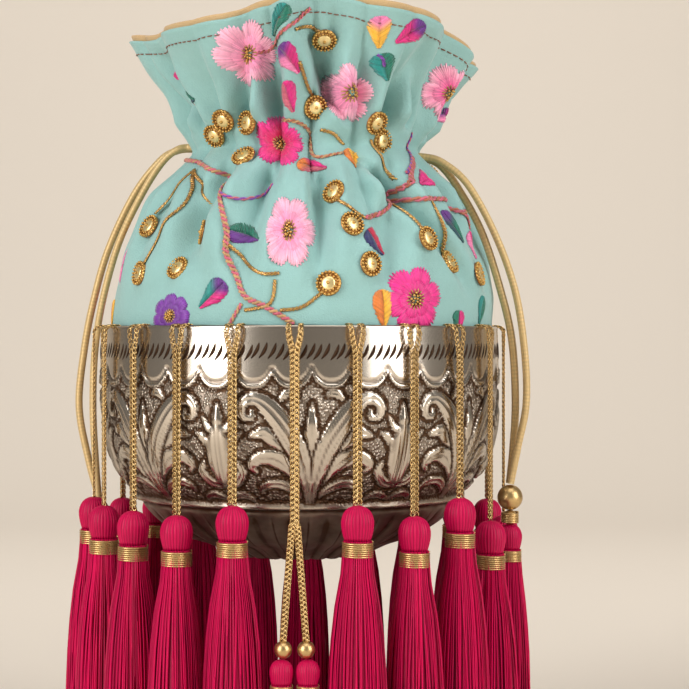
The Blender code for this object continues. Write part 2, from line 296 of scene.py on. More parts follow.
def plain_finish(name, colour, roughness):
    finish = bpy.data.materials.new(name)
    finish.use_nodes = True
    shader = finish.node_tree.nodes["Principled BSDF"]
    shader.inputs["Base Color"].default_value = (*colour, 1.0)
    shader.inputs["Roughness"].default_value = roughness
    return finish


def make_sweep():
    floor = cad_box[0][2] - FLOOR_DROP
    bend_radius, wall_y = 0.9, 1.9
    bend = np.radians(np.linspace(0.0, 90.0, 16))
    side_y = np.concatenate([[-2.5, 0.2], wall_y - bend_radius + bend_radius * np.sin(bend), [wall_y]])
    side_z = np.concatenate([[0.0, 0.0], bend_radius * (1.0 - np.cos(bend)), [3.2]]) + floor
    across = np.linspace(-SWEEP_WIDTH / 2, SWEEP_WIDTH / 2, 3)
    points = np.stack(np.broadcast_arrays(across[None, :], side_y[:, None], side_z[:, None]), -1)
    quads = grid_quads(len(side_y), len(across), closed=False)[:, ::-1]
    sweep_finish = plain_finish("warm_paper", linear(240, 230, 217), 0.9)
    sweep_finish.node_tree.nodes["Principled BSDF"].inputs["Specular IOR Level"].default_value = 0.1
    mesh_object("studio_sweep", points.reshape(-1, 3), quads, sweep_finish)


def soft_light(name, azimuth_deg, height, distance, size, power, colour, aim_height=0.05):
    """An area light that faces the bag; azimuth 0 is the camera's own side, and positive is to its right."""
    light = bpy.data.lights.new(name, "AREA")
    light.shape = "RECTANGLE"
    light.size, light.size_y = size
    light.energy = power
    light.color = colour
    lamp = bpy.data.objects.new(name, light)
    azimuth = math.radians(azimuth_deg)
    lamp.location = (distance * math.sin(azimuth), -distance * math.cos(azimuth), height)
    aim = Vector((0.0, 0.0, aim_height)) - lamp.location
    lamp.rotation_euler = aim.to_track_quat("-Z", "Y").to_euler()
    bpy.context.scene.collection.objects.link(lamp)


make_sweep()
soft_light("soft_left", -46.0, 0.42, 1.15, (0.55, 1.0), 11.2, (1.0, 0.99, 0.98))
soft_light("soft_right", 54.0, 0.46, 1.15, (0.6, 1.0), 9.4, (1.0, 0.99, 0.98))
soft_light("soft_top", 10.0, 1.5, 0.45, (1.2, 1.0), 7.0, (1.0, 0.99, 0.98))
soft_light("backdrop_glow", 180.0, 0.9, 0.2, (2.4, 0.8), 12.0, (1.0, 0.99, 0.97), 0.9)
bpy.data.objects["backdrop_glow"].rotation_euler = (math.radians(90.0), 0.0, 0.0)

world = bpy.data.worlds.new("studio")
world.use_nodes = True
world.node_tree.nodes["Background"].inputs["Color"].default_value = (*linear(238, 232, 224), 1.0)
world.node_tree.nodes["Background"].inputs["Strength"].default_value = 0.25
bpy.context.scene.world = world
bpy.context.scene.view_settings.view_transform = "Standard"
print("studio ready")

# %% [markdown]
# ## Effects that several finishes share
# Two node groups are built once. `mottle` gives uneven dye or wear as a factor near 1, and `weave` gives
# the small bumps of woven cloth as a height. Materials place them with values of their own and keep
# their shaders to themselves.

# %% Node group tools


def new_group(name, inputs, outputs):
    """A shader node group with named sockets; returns the tree, its input node and its output node."""
    tree = bpy.data.node_groups.new(name, "ShaderNodeTree")
    for socket, kind, value in inputs:
        made = tree.interface.new_socket(socket, in_out="INPUT", socket_type="NodeSocket" + kind)
        if value is not None:
            made.default_value = value
    for socket, kind in outputs:
        tree.interface.new_socket(socket, in_out="OUTPUT", socket_type="NodeSocket" + kind)
    return tree, tree.nodes.new("NodeGroupInput"), tree.nodes.new("NodeGroupOutput")


def add_node(tree, kind, values=None, **settings):
    node = tree.nodes.new(kind)
    for key, value in settings.items():
        setattr(node, key, value)
    for socket, value in (values or {}).items():
        node.inputs[socket].default_value = value
    return node


def wire(tree, source, target):
    tree.links.new(source, target)


def make_mottle():
    """Uneven colour: a factor near 1 that drifts over a few millimetres."""
    tree, given, out = new_group("mottle", [("Scale", "Float", 200.0), ("Depth", "Float", 0.2)],
                                 [("Factor", "Float")])
    place = add_node(tree, "ShaderNodeTexCoord")
    cloud = add_node(tree, "ShaderNodeTexNoise", {"Detail": 3.0, "Roughness": 0.6})
    wire(tree, place.outputs["Object"], cloud.inputs["Vector"])
    wire(tree, given.outputs["Scale"], cloud.inputs["Scale"])
    centre = add_node(tree, "ShaderNodeMath", {1: 0.5}, operation="SUBTRACT")
    wire(tree, cloud.outputs["Fac"], centre.inputs[0])
    depth = add_node(tree, "ShaderNodeMath", {2: 1.0}, operation="MULTIPLY_ADD")
    wire(tree, centre.outputs[0], depth.inputs[0])
    wire(tree, given.outputs["Depth"], depth.inputs[1])
    wire(tree, depth.outputs[0], out.inputs["Factor"])
    return tree


def make_weave():
    """A plain weave as a height from 0 to 1, for bump, in the object's own metres."""
    tree, given, out = new_group("weave", [("Threads per metre", "Float", 2200.0)], [("Height", "Float")])
    place = add_node(tree, "ShaderNodeTexCoord")
    scaled = add_node(tree, "ShaderNodeVectorMath", operation="SCALE")
    wire(tree, place.outputs["Object"], scaled.inputs[0])
    wire(tree, given.outputs["Threads per metre"], scaled.inputs["Scale"])
    cells = add_node(tree, "ShaderNodeTexVoronoi", {"Scale": 1.0, "Randomness": 0.75}, feature="F1")
    fuzz = add_node(tree, "ShaderNodeTexNoise", {"Scale": 0.6, "Detail": 2.0})
    wire(tree, scaled.outputs[0], cells.inputs["Vector"])
    wire(tree, scaled.outputs[0], fuzz.inputs["Vector"])
    both = add_node(tree, "ShaderNodeMath", operation="MULTIPLY")
    wire(tree, cells.outputs["Distance"], both.inputs[0])
    wire(tree, fuzz.outputs["Fac"], both.inputs[1])
    wire(tree, both.outputs[0], out.inputs["Height"])
    return tree


mottle = make_mottle()
weave = make_weave()
print("node groups", [tree.name for tree in (mottle, weave)])

# %% [markdown]
# ## Thread, cloth and metal finishes
# Silk and metallic thread take their colour from the `tint` that each mesh carries, so one finish serves
# every shade of embroidery. A soft sheen lightens cloth at grazing angles. Gold parts are metallic, and
# the bowl has a finish of its own further down.

# %% Finishes


def new_finish(name, roughness, metallic=0.0):
    finish = bpy.data.materials.new(name)
    finish.use_nodes = True
    tree = finish.node_tree
    shader = tree.nodes["Principled BSDF"]
    shader.inputs["Roughness"].default_value = roughness
    shader.inputs["Metallic"].default_value = metallic
    return finish, tree, shader


def mottled_colour(tree, colour_socket, scale, depth):
    """The given colour times the mottle factor."""
    uneven = add_node(tree, "ShaderNodeGroup", node_tree=mottle)
    uneven.inputs["Scale"].default_value = scale
    uneven.inputs["Depth"].default_value = depth
    product = add_node(tree, "ShaderNodeVectorMath", operation="SCALE")
    wire(tree, colour_socket, product.inputs[0])
    wire(tree, uneven.outputs["Factor"], product.inputs["Scale"])
    return product.outputs[0]


def tint_finish(name, roughness, metallic=0.0, sheen=0.0, scale=900.0, depth=0.3):
    finish, tree, shader = new_finish(name, roughness, metallic)
    tint = add_node(tree, "ShaderNodeAttribute", attribute_name="tint")
    wire(tree, mottled_colour(tree, tint.outputs["Color"], scale, depth), shader.inputs["Base Color"])
    shader.inputs["Sheen Weight"].default_value = sheen
    return finish


def add_bump(tree, shader, height_socket, strength, distance):
    bump = add_node(tree, "ShaderNodeBump", {"Strength": strength, "Distance": distance})
    wire(tree, height_socket, bump.inputs["Height"])
    wire(tree, bump.outputs["Normal"], shader.inputs["Normal"])


def cloth_finish(name, colour, threads_per_metre, depth):
    finish, tree, shader = new_finish(name, 0.88)
    base = add_node(tree, "ShaderNodeRGB")
    base.outputs[0].default_value = (*colour, 1.0)
    wire(tree, mottled_colour(tree, base.outputs[0], 420.0, depth), shader.inputs["Base Color"])
    yarn = add_node(tree, "ShaderNodeGroup", node_tree=weave)
    yarn.inputs["Threads per metre"].default_value = threads_per_metre
    add_bump(tree, shader, yarn.outputs["Height"], 0.55, 0.3 * MM)
    shader.inputs["Sheen Weight"].default_value = 0.35
    shader.inputs["Sheen Roughness"].default_value = 0.4
    return finish


AQUA = linear(142, 184, 180)
BEIGE = linear(196, 164, 120)
MAGENTA = linear(194, 6, 74)
GOLD = linear(206, 174, 120)

silk_thread = tint_finish("silk_thread", 0.42, sheen=0.3)
gold_thread = tint_finish("gold_thread", 0.36, metallic=0.85, depth=0.5)
polished_gold = tint_finish("polished_gold", 0.24, metallic=1.0, scale=500.0, depth=0.12)
tassel_silk = tint_finish("tassel_silk", 0.4, scale=260.0, depth=0.25)
tassel_silk.node_tree.nodes["Principled BSDF"].inputs["Specular IOR Level"].default_value = 0.18
aqua_cloth = cloth_finish("aqua_cloth", AQUA, 1900.0, 0.10)
lining_cloth = cloth_finish("beige_cloth", BEIGE, 1600.0, 0.10)
print("finishes ready")

# %% [markdown]
# ## The bowl
# The real bowl is thin sheet metal, chased from outside: the ornament stands up, the ground round it is
# punched down and left dark, and the high spots are polished bright. One turned outline gives the body.
# The relief is real geometry: each leaf is a stroke, a smooth line with a width along it, and the height
# at a point comes from its distance to that line. One half of a motif is drawn, mirrored, and repeated.

# %% Bowl outline
BOWL_WALL = 1.2 * MM
BOWL_OUTLINE_MM = (
    (65.0, 74.0), (65.3, 63.0), (65.3, 50.0), (64.4, 40.0), (61.7, 31.0), (58.4, 25.4),
    (54.2, 20.4), (46.9, 12.2), (38.3, 6.9), (30.7, 4.3), (25.4, 1.9), (22.0, 0.3),
)
MOTIFS = 7
MOTIF_COLUMNS = 92
MOTIF_WIDTH_MM = TAU * 65.0 / MOTIFS
ORNAMENT_TURN = math.radians(4.5)
RIDGE_DEPTH_MM = 57.6

bowl_line = smooth_line(BOWL_OUTLINE_MM, 0.1)
bowl_run = np.concatenate([[0.0], np.cumsum(np.linalg.norm(np.diff(bowl_line, axis=0), axis=1))])
bowl_slope = unit(np.gradient(bowl_line, axis=0))
print("bowl outline runs", round(bowl_run[-1], 1), "mm from rim to foot")


def bowl_at(depth_mm):
    """Radius, height and outward direction of the plain bowl at a distance down from the rim."""
    columns = [np.interp(depth_mm, bowl_run, column) for column in
               (bowl_line[:, 0], bowl_line[:, 1], -bowl_slope[:, 1], bowl_slope[:, 0])]
    return np.stack(columns, -1)


# %% [markdown]
# The motif is an acanthus frond: a main stem that ends in a volute, three side leaves and some smaller
# ones, and between two fronds a striped bud on a leafy base. Distances are in millimetres, first sideways
# from the frond's middle line and then down from the rim. Each point of a stroke also says how wide the
# leaf is there.

# %% Strokes of the ornament
FROND_STROKES = (
    ((0.6, 55.5, 0.9), (1.6, 47.0, 1.9), (4.4, 37.0, 3.0), (9.2, 28.4, 3.2), (14.4, 22.8, 2.6),
     (18.8, 21.4, 1.9), (21.4, 23.8, 1.5), (20.6, 26.8, 1.2), (18.2, 26.8, 1.0), (18.2, 24.8, 0.7)),
    ((1.6, 51.0, 0.7), (5.4, 44.4, 1.9), (10.6, 40.0, 2.6), (15.4, 39.4, 2.2), (18.8, 41.8, 1.5),
     (17.6, 44.0, 0.8)),
    ((5.4, 42.0, 0.6), (9.4, 35.6, 2.0), (14.0, 31.8, 2.2), (19.0, 32.6, 0.5)),
    ((1.2, 55.0, 0.6), (6.2, 50.2, 1.5), (11.2, 48.2, 1.7), (15.6, 49.6, 1.3), (16.4, 52.2, 0.6)),
    ((0.0, 46.0, 1.2), (0.0, 34.0, 2.2), (0.0, 22.5, 0.4)),
    ((10.4, 22.4, 0.4), (7.2, 19.6, 1.3), (4.6, 20.2, 0.5)),
    ((21.6, 31.6, 0.5), (24.0, 33.2, 1.2), (25.2, 36.6, 0.5)),
    ((28.4, 49.2, 1.2), (24.6, 47.8, 1.7), (22.2, 44.0, 1.4), (23.4, 41.0, 0.6)),
    ((28.6, 55.0, 0.8), (24.8, 53.0, 1.4), (21.2, 53.8, 1.1), (19.4, 56.4, 0.5)),
    ((26.4, 30.4, 1.2), (24.2, 27.0, 0.5)),
)
BUD_STROKES = (
    ((29.15, 47.2, 2.6), (29.15, 40.0, 4.2), (29.15, 33.5, 3.4), (29.15, 29.6, 1.6)),
    ((29.15, 28.2, 1.9), (29.15, 23.0, 0.5)),
)
LEAF_CROWN_MM = 0.95
FULL_CROWN_WIDTH_MM = 1.6
GROUND_DROP_MM = 0.55
BRACKETS_PER_MOTIF = 5
BRACKET_TOP_MM = 13.2
BRACKET_SAG_MM = 4.6
STRIPE_MM = 1.75
LOBES = MOTIFS * 4


def stroke_relief(across, down, stroke):
    """Height share of one raised stroke, distance past its edge and distance from its line, in mm."""
    line = smooth_line(stroke, 0.15)
    gaps = np.hypot(across[..., None] - line[:, 0], down[..., None] - line[:, 1])
    nearest = gaps.argmin(-1)
    gap = np.take_along_axis(gaps, nearest[..., None], -1)[..., 0]
    width = line[nearest, 2]
    rise = np.sqrt(np.clip(1.0 - (gap / width) ** 2, 0.0, 1.0))
    return rise * np.minimum(width / FULL_CROWN_WIDTH_MM, 1.0), gap - width, gap


def bracket_edge(across):
    """How far down the cusped edge between the polished band and the punched ground lies."""
    step = MOTIF_WIDTH_MM / BRACKETS_PER_MOTIF
    place = np.abs(2.0 * ((across / step) % 1.0 - 0.5))
    return BRACKET_TOP_MM + BRACKET_SAG_MM * (1.0 - place ** 2.6)


def motif_relief(across, down):
    """Height in mm, the ground mask and the mask of the cuts round the leaves, over one motif."""
    height = np.zeros_like(down)
    outline = np.zeros_like(down)
    seams = np.zeros_like(down)
    for stroke in FROND_STROKES[::-1]:
        rise, past, gap = stroke_relief(across, down, stroke)
        rise = rise ** 0.55 - 0.5 * np.exp(-(gap / 0.62) ** 2) * (rise > 0.0)
        edge = gap - past
        rise = rise - 0.35 * np.exp(-((gap - 0.6 * edge) / 0.5) ** 2) * (edge > 1.9) * (past < 0.0)
        rim_cut = np.exp(-((past - 0.45) / 0.42) ** 2)
        height = np.maximum(height * (1.0 - 0.9 * rim_cut * (past > 0.0)), LEAF_CROWN_MM * rise)
        seams = np.maximum(seams * (past > 0.0), rim_cut)
        outline = np.maximum(outline, np.exp(-((past - 0.55) / 0.45) ** 2))
    for stroke in BUD_STROKES:
        rise, past, gap = stroke_relief(across, down, stroke)
        stripes = 0.82 + 0.18 * np.cos((across - stroke[0][0]) * TAU / STRIPE_MM)
        height = np.maximum(height, 1.25 * LEAF_CROWN_MM * rise * stripes)
        outline = np.maximum(outline, np.exp(-((past - 0.55) / 0.5) ** 2))
    past_edge = down - bracket_edge(across)
    ground = smoothstep(0.0, 0.8, past_edge) * smoothstep(RIDGE_DEPTH_MM - 0.8, RIDGE_DEPTH_MM - 1.6, down)
    leaf = smoothstep(0.02, 0.3, height)
    height = height * ground
    border = 0.5 * np.exp(-(past_edge / 0.55) ** 2) - 0.45 * np.exp(-((past_edge + 1.3) / 0.5) ** 2)
    ridge = 0.95 * np.exp(-((down - RIDGE_DEPTH_MM) / 0.75) ** 2) \
        - 0.5 * np.exp(-((down - RIDGE_DEPTH_MM - 2.2) / 0.8) ** 2)
    in_band = down < RIDGE_DEPTH_MM
    bare = 1.0 - leaf
    total = height - GROUND_DROP_MM * ground - 0.35 * outline * ground * bare + border * in_band + ridge
    return total, ground * bare, np.maximum(outline * bare, 0.75 * seams) * ground


def underside_relief(turns, down):
    """Broad lobes with a veined middle on the darker underside."""
    fade = smoothstep(RIDGE_DEPTH_MM + 3.0, RIDGE_DEPTH_MM + 7.0, down) * smoothstep(101.0, 92.0, down)
    lobe = np.abs(np.cos(turns * LOBES / 2.0))
    vein = np.exp(-(np.sin(turns * LOBES / 2.0) / 0.12) ** 2)
    return fade * (0.75 * lobe ** 0.6 - 0.5 - 0.25 * vein), fade * (1.0 - lobe ** 0.5)


# %% [markdown]
# The skin runs from the middle of the floor, up the plain inside, over the rounded lip and down the
# chased outside to the foot. The relief pushes its points outwards, and two masks go with it: `ground`
# for the punched background and `recess` for places where polish never reaches, which also grows darker
# towards the bottom of the bowl. The finish darkens the recesses, and gives the ground its pebbles as a
# bump, which would be too fine for real geometry.

# %% Bowl mesh


def bowl_finish():
    """Polished silver on the high spots, dark brown patina in the recesses, pebbled ground between."""
    finish, tree, shader = new_finish("oxidised_silver", 0.2, 1.0)
    ground = add_node(tree, "ShaderNodeAttribute", attribute_name="ground")
    recess = add_node(tree, "ShaderNodeAttribute", attribute_name="recess")
    place = add_node(tree, "ShaderNodeTexCoord")
    pebbles = add_node(tree, "ShaderNodeTexVoronoi", {"Scale": 1050.0, "Randomness": 0.8}, feature="F1")
    wire(tree, place.outputs["Object"], pebbles.inputs["Vector"])
    domes = add_node(tree, "ShaderNodeMapRange",
                     {"From Min": 0.22, "From Max": 0.62, "To Min": 1.0, "To Max": 0.0})
    wire(tree, pebbles.outputs["Distance"], domes.inputs["Value"])
    gaps = add_node(tree, "ShaderNodeMath", {0: 1.0}, operation="SUBTRACT")
    wire(tree, domes.outputs["Result"], gaps.inputs[1])
    dark_gaps = add_node(tree, "ShaderNodeMath", operation="MULTIPLY")
    wire(tree, gaps.outputs[0], dark_gaps.inputs[0])
    wire(tree, ground.outputs["Fac"], dark_gaps.inputs[1])
    uneven = add_node(tree, "ShaderNodeGroup", node_tree=mottle)
    uneven.inputs["Scale"].default_value = 130.0
    uneven.inputs["Depth"].default_value = 0.7
    worn = add_node(tree, "ShaderNodeMath", operation="MULTIPLY")
    wire(tree, recess.outputs["Fac"], worn.inputs[0])
    wire(tree, uneven.outputs["Factor"], worn.inputs[1])
    patina = add_node(tree, "ShaderNodeMath", {2: 0.0}, operation="MULTIPLY_ADD", use_clamp=True)
    patina.inputs[1].default_value = 0.5
    wire(tree, dark_gaps.outputs[0], patina.inputs[0])
    wire(tree, worn.outputs[0], patina.inputs[2])
    colour = add_node(tree, "ShaderNodeMix", data_type="RGBA")
    colour.inputs["A"].default_value = (*linear(214, 203, 188), 1.0)
    colour.inputs["B"].default_value = (*linear(84, 62, 46), 1.0)
    wire(tree, patina.outputs[0], colour.inputs["Factor"])
    wire(tree, colour.outputs["Result"], shader.inputs["Base Color"])
    rough = add_node(tree, "ShaderNodeMath", {1: 0.3, 2: 0.17}, operation="MULTIPLY_ADD")
    wire(tree, patina.outputs[0], rough.inputs[0])
    wire(tree, rough.outputs[0], shader.inputs["Roughness"])
    punched = add_node(tree, "ShaderNodeMath", operation="MULTIPLY")
    wire(tree, domes.outputs["Result"], punched.inputs[0])
    wire(tree, ground.outputs["Fac"], punched.inputs[1])
    add_bump(tree, shader, punched.outputs[0], 0.9, 0.35 * MM)
    return finish


def turned_rows(rows, columns, offsets=None):
    """Points of rows (radius, height, outward r, outward z) turned round the axis, moved out by offsets."""
    angles = np.arange(columns) * TAU / columns
    reach = rows[:, 0][:, None] + (0.0 if offsets is None else offsets * rows[:, 2][:, None])
    level = rows[:, 1][:, None] + (0.0 if offsets is None else offsets * rows[:, 3][:, None])
    level = np.broadcast_to(level, (len(rows), columns))
    return np.stack([reach * np.sin(angles), -reach * np.cos(angles), level], -1)


def soften(field, times):
    """A blurred copy of a field that closes on itself sideways."""
    for _ in range(times):
        field = (field + np.roll(field, 1, 1) + np.roll(field, -1, 1)) / 3.0
        field[1:-1] = (field[:-2] + field[1:-1] + field[2:]) / 3.0
    return field


def make_bowl():
    columns = MOTIFS * MOTIF_COLUMNS
    downs = np.concatenate([np.linspace(0.0, RIDGE_DEPTH_MM + 3.0, 104), np.linspace(61.6, bowl_run[-1], 20)])
    outer = bowl_at(downs)
    share = np.arange(MOTIF_COLUMNS) / MOTIF_COLUMNS - 0.5
    across, down = np.meshgrid(np.abs(share) * MOTIF_WIDTH_MM, downs)
    relief, ground, outline = (np.tile(part, (1, MOTIFS)) for part in motif_relief(across, down))
    turns = (np.arange(columns) / columns) * TAU
    lobes, hollows = underside_relief(turns[None, :], downs[:, None])
    relief = relief + lobes
    recess = np.clip((soften(relief, 5) - relief) * 3.2, 0.0, 0.7) + 0.5 * outline + 0.35 * hollows
    # Besides the recesses, the mask makes the bowl darker towards the bottom: a little over the lower leaves,
    # more below the ridge.
    below_leaves = 0.2 * smoothstep(36.0, 54.0, down[:, :1])
    underside = 0.4 * smoothstep(57.0, 62.0, down[:, :1])
    recess = np.clip(recess + 0.12 + below_leaves + underside + 0.08 * ground, 0.0, 1.0)
    shift = round(ORNAMENT_TURN / TAU * columns) - MOTIF_COLUMNS // 2
    relief, ground, recess = (np.roll(part, shift, 1) for part in (relief, ground, recess))
    lip_turn = np.radians(np.linspace(180.0, 0.0, 6))[:-1]
    lip_radius = BOWL_WALL / 2 / MM
    lip = np.stack([outer[0, 0] - lip_radius + lip_radius * np.cos(lip_turn),
                    outer[0, 1] + lip_radius * np.sin(lip_turn), 0 * lip_turn, 0 * lip_turn], -1)
    inner = bowl_at(np.linspace(bowl_run[-1], 1.5, 14))
    inner[:, 0] -= inner[:, 2] * BOWL_WALL / MM
    inner[:, 1] -= inner[:, 3] * BOWL_WALL / MM
    plain_rows = np.vstack([inner, lip])
    points = np.concatenate([turned_rows(plain_rows, columns), turned_rows(outer, columns, relief)]) * MM
    blank = np.zeros((len(plain_rows), columns))
    rows = len(plain_rows) + len(outer)
    verts = np.vstack([points.reshape(-1, 3), [[0, 0, inner[0, 1] * MM], [0, 0, outer[-1, 1] * MM]]])
    ring = np.arange(columns)
    after = (ring + 1) % columns
    centre = rows * columns
    floor_fan = np.stack([ring, after, np.full(columns, centre)], -1)
    foot_fan = np.stack([(rows - 1) * columns + after, (rows - 1) * columns + ring,
                         np.full(columns, centre + 1)], -1)
    masks = {"ground": np.append(np.vstack([blank, ground]), [0, 0]),
             "recess": np.append(np.vstack([blank + 0.2, recess]), [0.2, 0.3])}
    bowl = mesh_object("chased_bowl", verts, [grid_quads(rows, columns), floor_fan, foot_fan],
                       bowl_finish(), masks=masks)
    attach(bowl, "bag")
    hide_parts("bowl")
    print("bowl", len(bowl.data.polygons), "faces")


make_bowl()

# %% [markdown]
# Under the rim runs a row of short slanting cuts, made one by one with a liner punch. They are finer than
# the bowl's own grid of points, so each is a thin dark stroke laid on the metal. Their spacing and length
# vary a little, as hand work does.

# %% Slanting cuts under the rim
CUT_COUNT = 176
CUT_TOP_MM, CUT_BOTTOM_MM = 5.0, 9.6


def make_rim_cuts():
    rng = np.random.default_rng(11)
    starts = (np.arange(CUT_COUNT) + rng.uniform(-0.12, 0.12, CUT_COUNT)) * TAU / CUT_COUNT
    share = np.linspace(0.0, 1.0, 6)
    top = CUT_TOP_MM + rng.uniform(-0.4, 0.4, CUT_COUNT)
    down = top[:, None] + (CUT_BOTTOM_MM - CUT_TOP_MM) * share
    lean = (0.5 - share) * 2.4 / 65.0 + 0.5 / 65.0 * np.sin(share * math.pi)
    angles = starts[:, None] + lean
    place = bowl_at(down)
    reach = place[..., 0] + 0.02
    paths = np.stack([reach * np.sin(angles), -reach * np.cos(angles), place[..., 1]], -1) * MM
    ups = np.stack([np.sin(angles), -np.cos(angles), 0 * angles], -1)
    widths = (0.16 + 0.42 * np.sin(share * math.pi)) * np.ones_like(down) * MM
    verts, faces = sweep(paths, ups, widths, widths * 0.3, 4)
    finish, tree, shader = new_finish("dark_cut", 0.45, 0.9)
    shader.inputs["Base Color"].default_value = (*linear(66, 46, 32), 1.0)
    cuts = mesh_object("rim_cuts", verts, faces, finish)
    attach(cuts, "bag")


make_rim_cuts()

# %% [markdown]
# ## The gathered cloth
# The top is a tube of cloth, glued inside the rim, drawn together by the cords in a casing, and free
# above it as a ruffle. A cloth simulation could gather it, but then the embroidery would have to be
# found again on the result. Here the skin is a formula of the angle and the height: an outline for the
# body, narrow rounded pleats with sharp valleys at the neck, deeper tucks that slant across them,
# broad flutes at the hem, and small creases.
# Anything stitched to the cloth asks the same formula where the surface is and which way it faces.

# %% Cloth formula
CLOTH_HEIGHTS_MM = (62, 75, 84, 93.4, 103, 114.8, 120, 126, 129.5, 132, 136, 140, 144, 150, 155.6, 162, 168.3)
CLOTH_RADII_MM = (61.4, 62.3, 62.0, 60.3, 56.9, 51.0, 47.4, 42.4, 39.0, 37.4, 39.4, 41.4, 42.6, 45.8, 49.8,
                  54.0, 57.6)
LEAN_HEIGHTS_MM = (62, 76, 84, 103, 126, 150, 168)
LEAN_MM = (0.7, 0.8, 1.4, 2.0, 2.3, 1.8, 1.3)
GATHER_HEIGHTS_MM = (62, 78, 88, 98, 108, 118, 124, 128, 135.6, 139, 143, 152, 160, 168.3)
GATHER_DEPTHS_MM = (0.0, 0.0, 0.6, 2.0, 4.0, 6.4, 7.2, 4.4, 4.4, 7.8, 8.2, 6.4, 4.0, 2.6)
NECK_MM = 132.0
HEM_MM = 168.3
GATHERS = 21
GATHER_SHARPNESS = 0.72
FLUTES = 8

# Each tuck: angle in degrees, slant in degrees for each mm of height, depth in mm, half width in degrees.
TUCKS = (
    (-72, 0.2, 3.4, 4.5), (-52, -0.5, 3.0, 4.0), (-31, 0.25, 4.4, 4.0), (-15, 0.05, 5.0, 3.4),
    (9, 0.1, 3.6, 3.0), (23, -0.75, 4.6, 3.2), (38, 0.3, 4.0, 3.8), (58, -0.3, 3.4, 4.0),
    (83, 0.2, 3.6, 4.4), (112, -0.4, 4.2, 4.0), (139, 0.3, 3.4, 4.2), (165, -0.2, 4.4, 4.0),
    (192, 0.4, 3.6, 4.4), (221, -0.3, 4.4, 4.0), (251, 0.2, 3.4, 4.2),
)
HEM_ANGLES_DEG = (-180, -140, -90, -50, -25, -17, 0, 20, 39, 65, 90, 140, 180)
HEM_HEIGHTS_MM = (172.0, 171.0, 167.6, 165.4, 167.4, 170.2, 174.0, 173.0, 170.6, 166.0, 159.8, 166.0, 172.0)
TUCK_HEIGHTS_MM = (82, 104, 119, 127.5, 136.5, 142, 156, 166)
TUCK_SHARES = (0.0, 0.55, 1.0, 0.0, 0.0, 1.0, 0.6, 0.0)
cloth_outline = smooth_line(np.stack([CLOTH_RADII_MM, CLOTH_HEIGHTS_MM], -1), 0.25)
cloth_run = np.concatenate([[0.0], np.cumsum(np.linalg.norm(np.diff(cloth_outline, axis=0), axis=1))])
print("cloth length from rim to hem", round(cloth_run[-1], 1), "mm")


def hem_height(angle):
    """The hem stands highest at the front and at the back, and hangs lowest at the right."""
    base = np.interp(np.degrees(angle), HEM_ANGLES_DEG, HEM_HEIGHTS_MM, period=360.0)
    return base + 0.5 * np.sin(7 * angle + 0.6) + 0.4 * np.sin(12 * angle)


def ridge(phase, sharpness):
    """Rounded ridges with sharp valleys between them, from 0 in a valley to 1 on a ridge."""
    return np.abs(np.cos(phase / 2.0)) ** sharpness


def gather_phase(angle):
    """How far round the narrow pleats an angle is; they are not quite evenly spaced."""
    return GATHERS * angle + 1.5 * np.sin(3 * angle + 0.7)


def cloth_point(angle, level, inset=0.0):
    """Points of the cloth in mm at an angle and a nominal height; inset moves them towards the axis."""
    radius = np.interp(level, cloth_outline[:, 1], cloth_outline[:, 0])
    depth = np.interp(level, GATHER_HEIGHTS_MM, GATHER_DEPTHS_MM)
    drift = 0.5 * np.sin(level / 9.0 + 3 * angle)
    narrow = ridge(gather_phase(angle) + 0.8 * np.sin(7 * angle + 2.0) + drift, GATHER_SHARPNESS)
    uneven = np.clip(0.8 + 0.35 * np.sin(4 * angle + 1.2) + 0.25 * np.sin(9 * angle + 2.4), 0.25, 1.2)
    reach_down = smoothstep(-0.2, 1.0, np.sin(GATHERS / 2 * angle + 4.0 * np.sin(2 * angle)))
    below = np.clip((NECK_MM - level) / 34.0, 0.0, 1.0)
    uneven = uneven * (1.0 - below * (1.0 - reach_down))
    flute = ridge(FLUTES * angle + 1.1 * np.sin(2 * angle + 0.4) + 0.7 * np.sin(5 * angle + 1.0), 1.3)
    open_share = smoothstep(138.0, 162.0, level)
    fall = depth * uneven * (1.0 - narrow) + 6.0 * open_share * (1.0 - flute)
    crease = 0.30 * np.sin(9 * angle + level / 5.2) * np.sin(5 * angle - level / 7.5 + 1.0) \
        + 0.22 * np.sin(17 * angle - level / 3.9) * np.sin(11 * angle + level / 6.1)
    swell = 2.3 * (ridge(9 * angle + 1.3 * np.sin(3 * angle) + level / 24.0, 0.85) - 0.65)
    crease = crease * smoothstep(76.0, 88.0, level) \
        + swell * smoothstep(84.0, 104.0, level) * smoothstep(126.0, 116.0, level)
    lift = np.clip((level - NECK_MM) / (HEM_MM - NECK_MM), 0.0, None)
    height = np.where(level > NECK_MM, NECK_MM + lift * (hem_height(angle) - NECK_MM), level)
    for turn_deg, lean_deg, tuck_depth, half_width in TUCKS:
        away = np.degrees(angle) - turn_deg + lean_deg * (NECK_MM - level)
        away = (away + 180.0) % 360.0 - 180.0
        beside = (np.abs(away) - 2.2 * half_width) / half_width
        pinch = np.exp(-(away / half_width) ** 2) - 0.35 * np.exp(-beside ** 2)
        fall = fall + 1.9 * tuck_depth * pinch * np.interp(level, TUCK_HEIGHTS_MM, TUCK_SHARES)
    radius = radius - fall + crease
    least = np.interp(level, (80.0, 103.0, 119.0, 148.0, 162.0), (20.0, 42.0, 31.6, 31.6, 20.0))
    radius = 0.5 * (radius + least + np.sqrt((radius - least) ** 2 + 4.0)) - inset
    lean = np.interp(level, LEAN_HEIGHTS_MM, LEAN_MM)
    sway = 0.8 * open_share * (1.0 - flute) * 0.6
    return np.stack([radius * np.sin(angle) + lean, -radius * np.cos(angle), height + sway + 0 * radius], -1)


def cloth_normal(angle, level):
    step = 0.004
    around = cloth_point(angle + step, level) - cloth_point(angle - step, level)
    upward = cloth_point(angle, level + 0.25) - cloth_point(angle, level - 0.25)
    return unit(np.cross(around, upward))


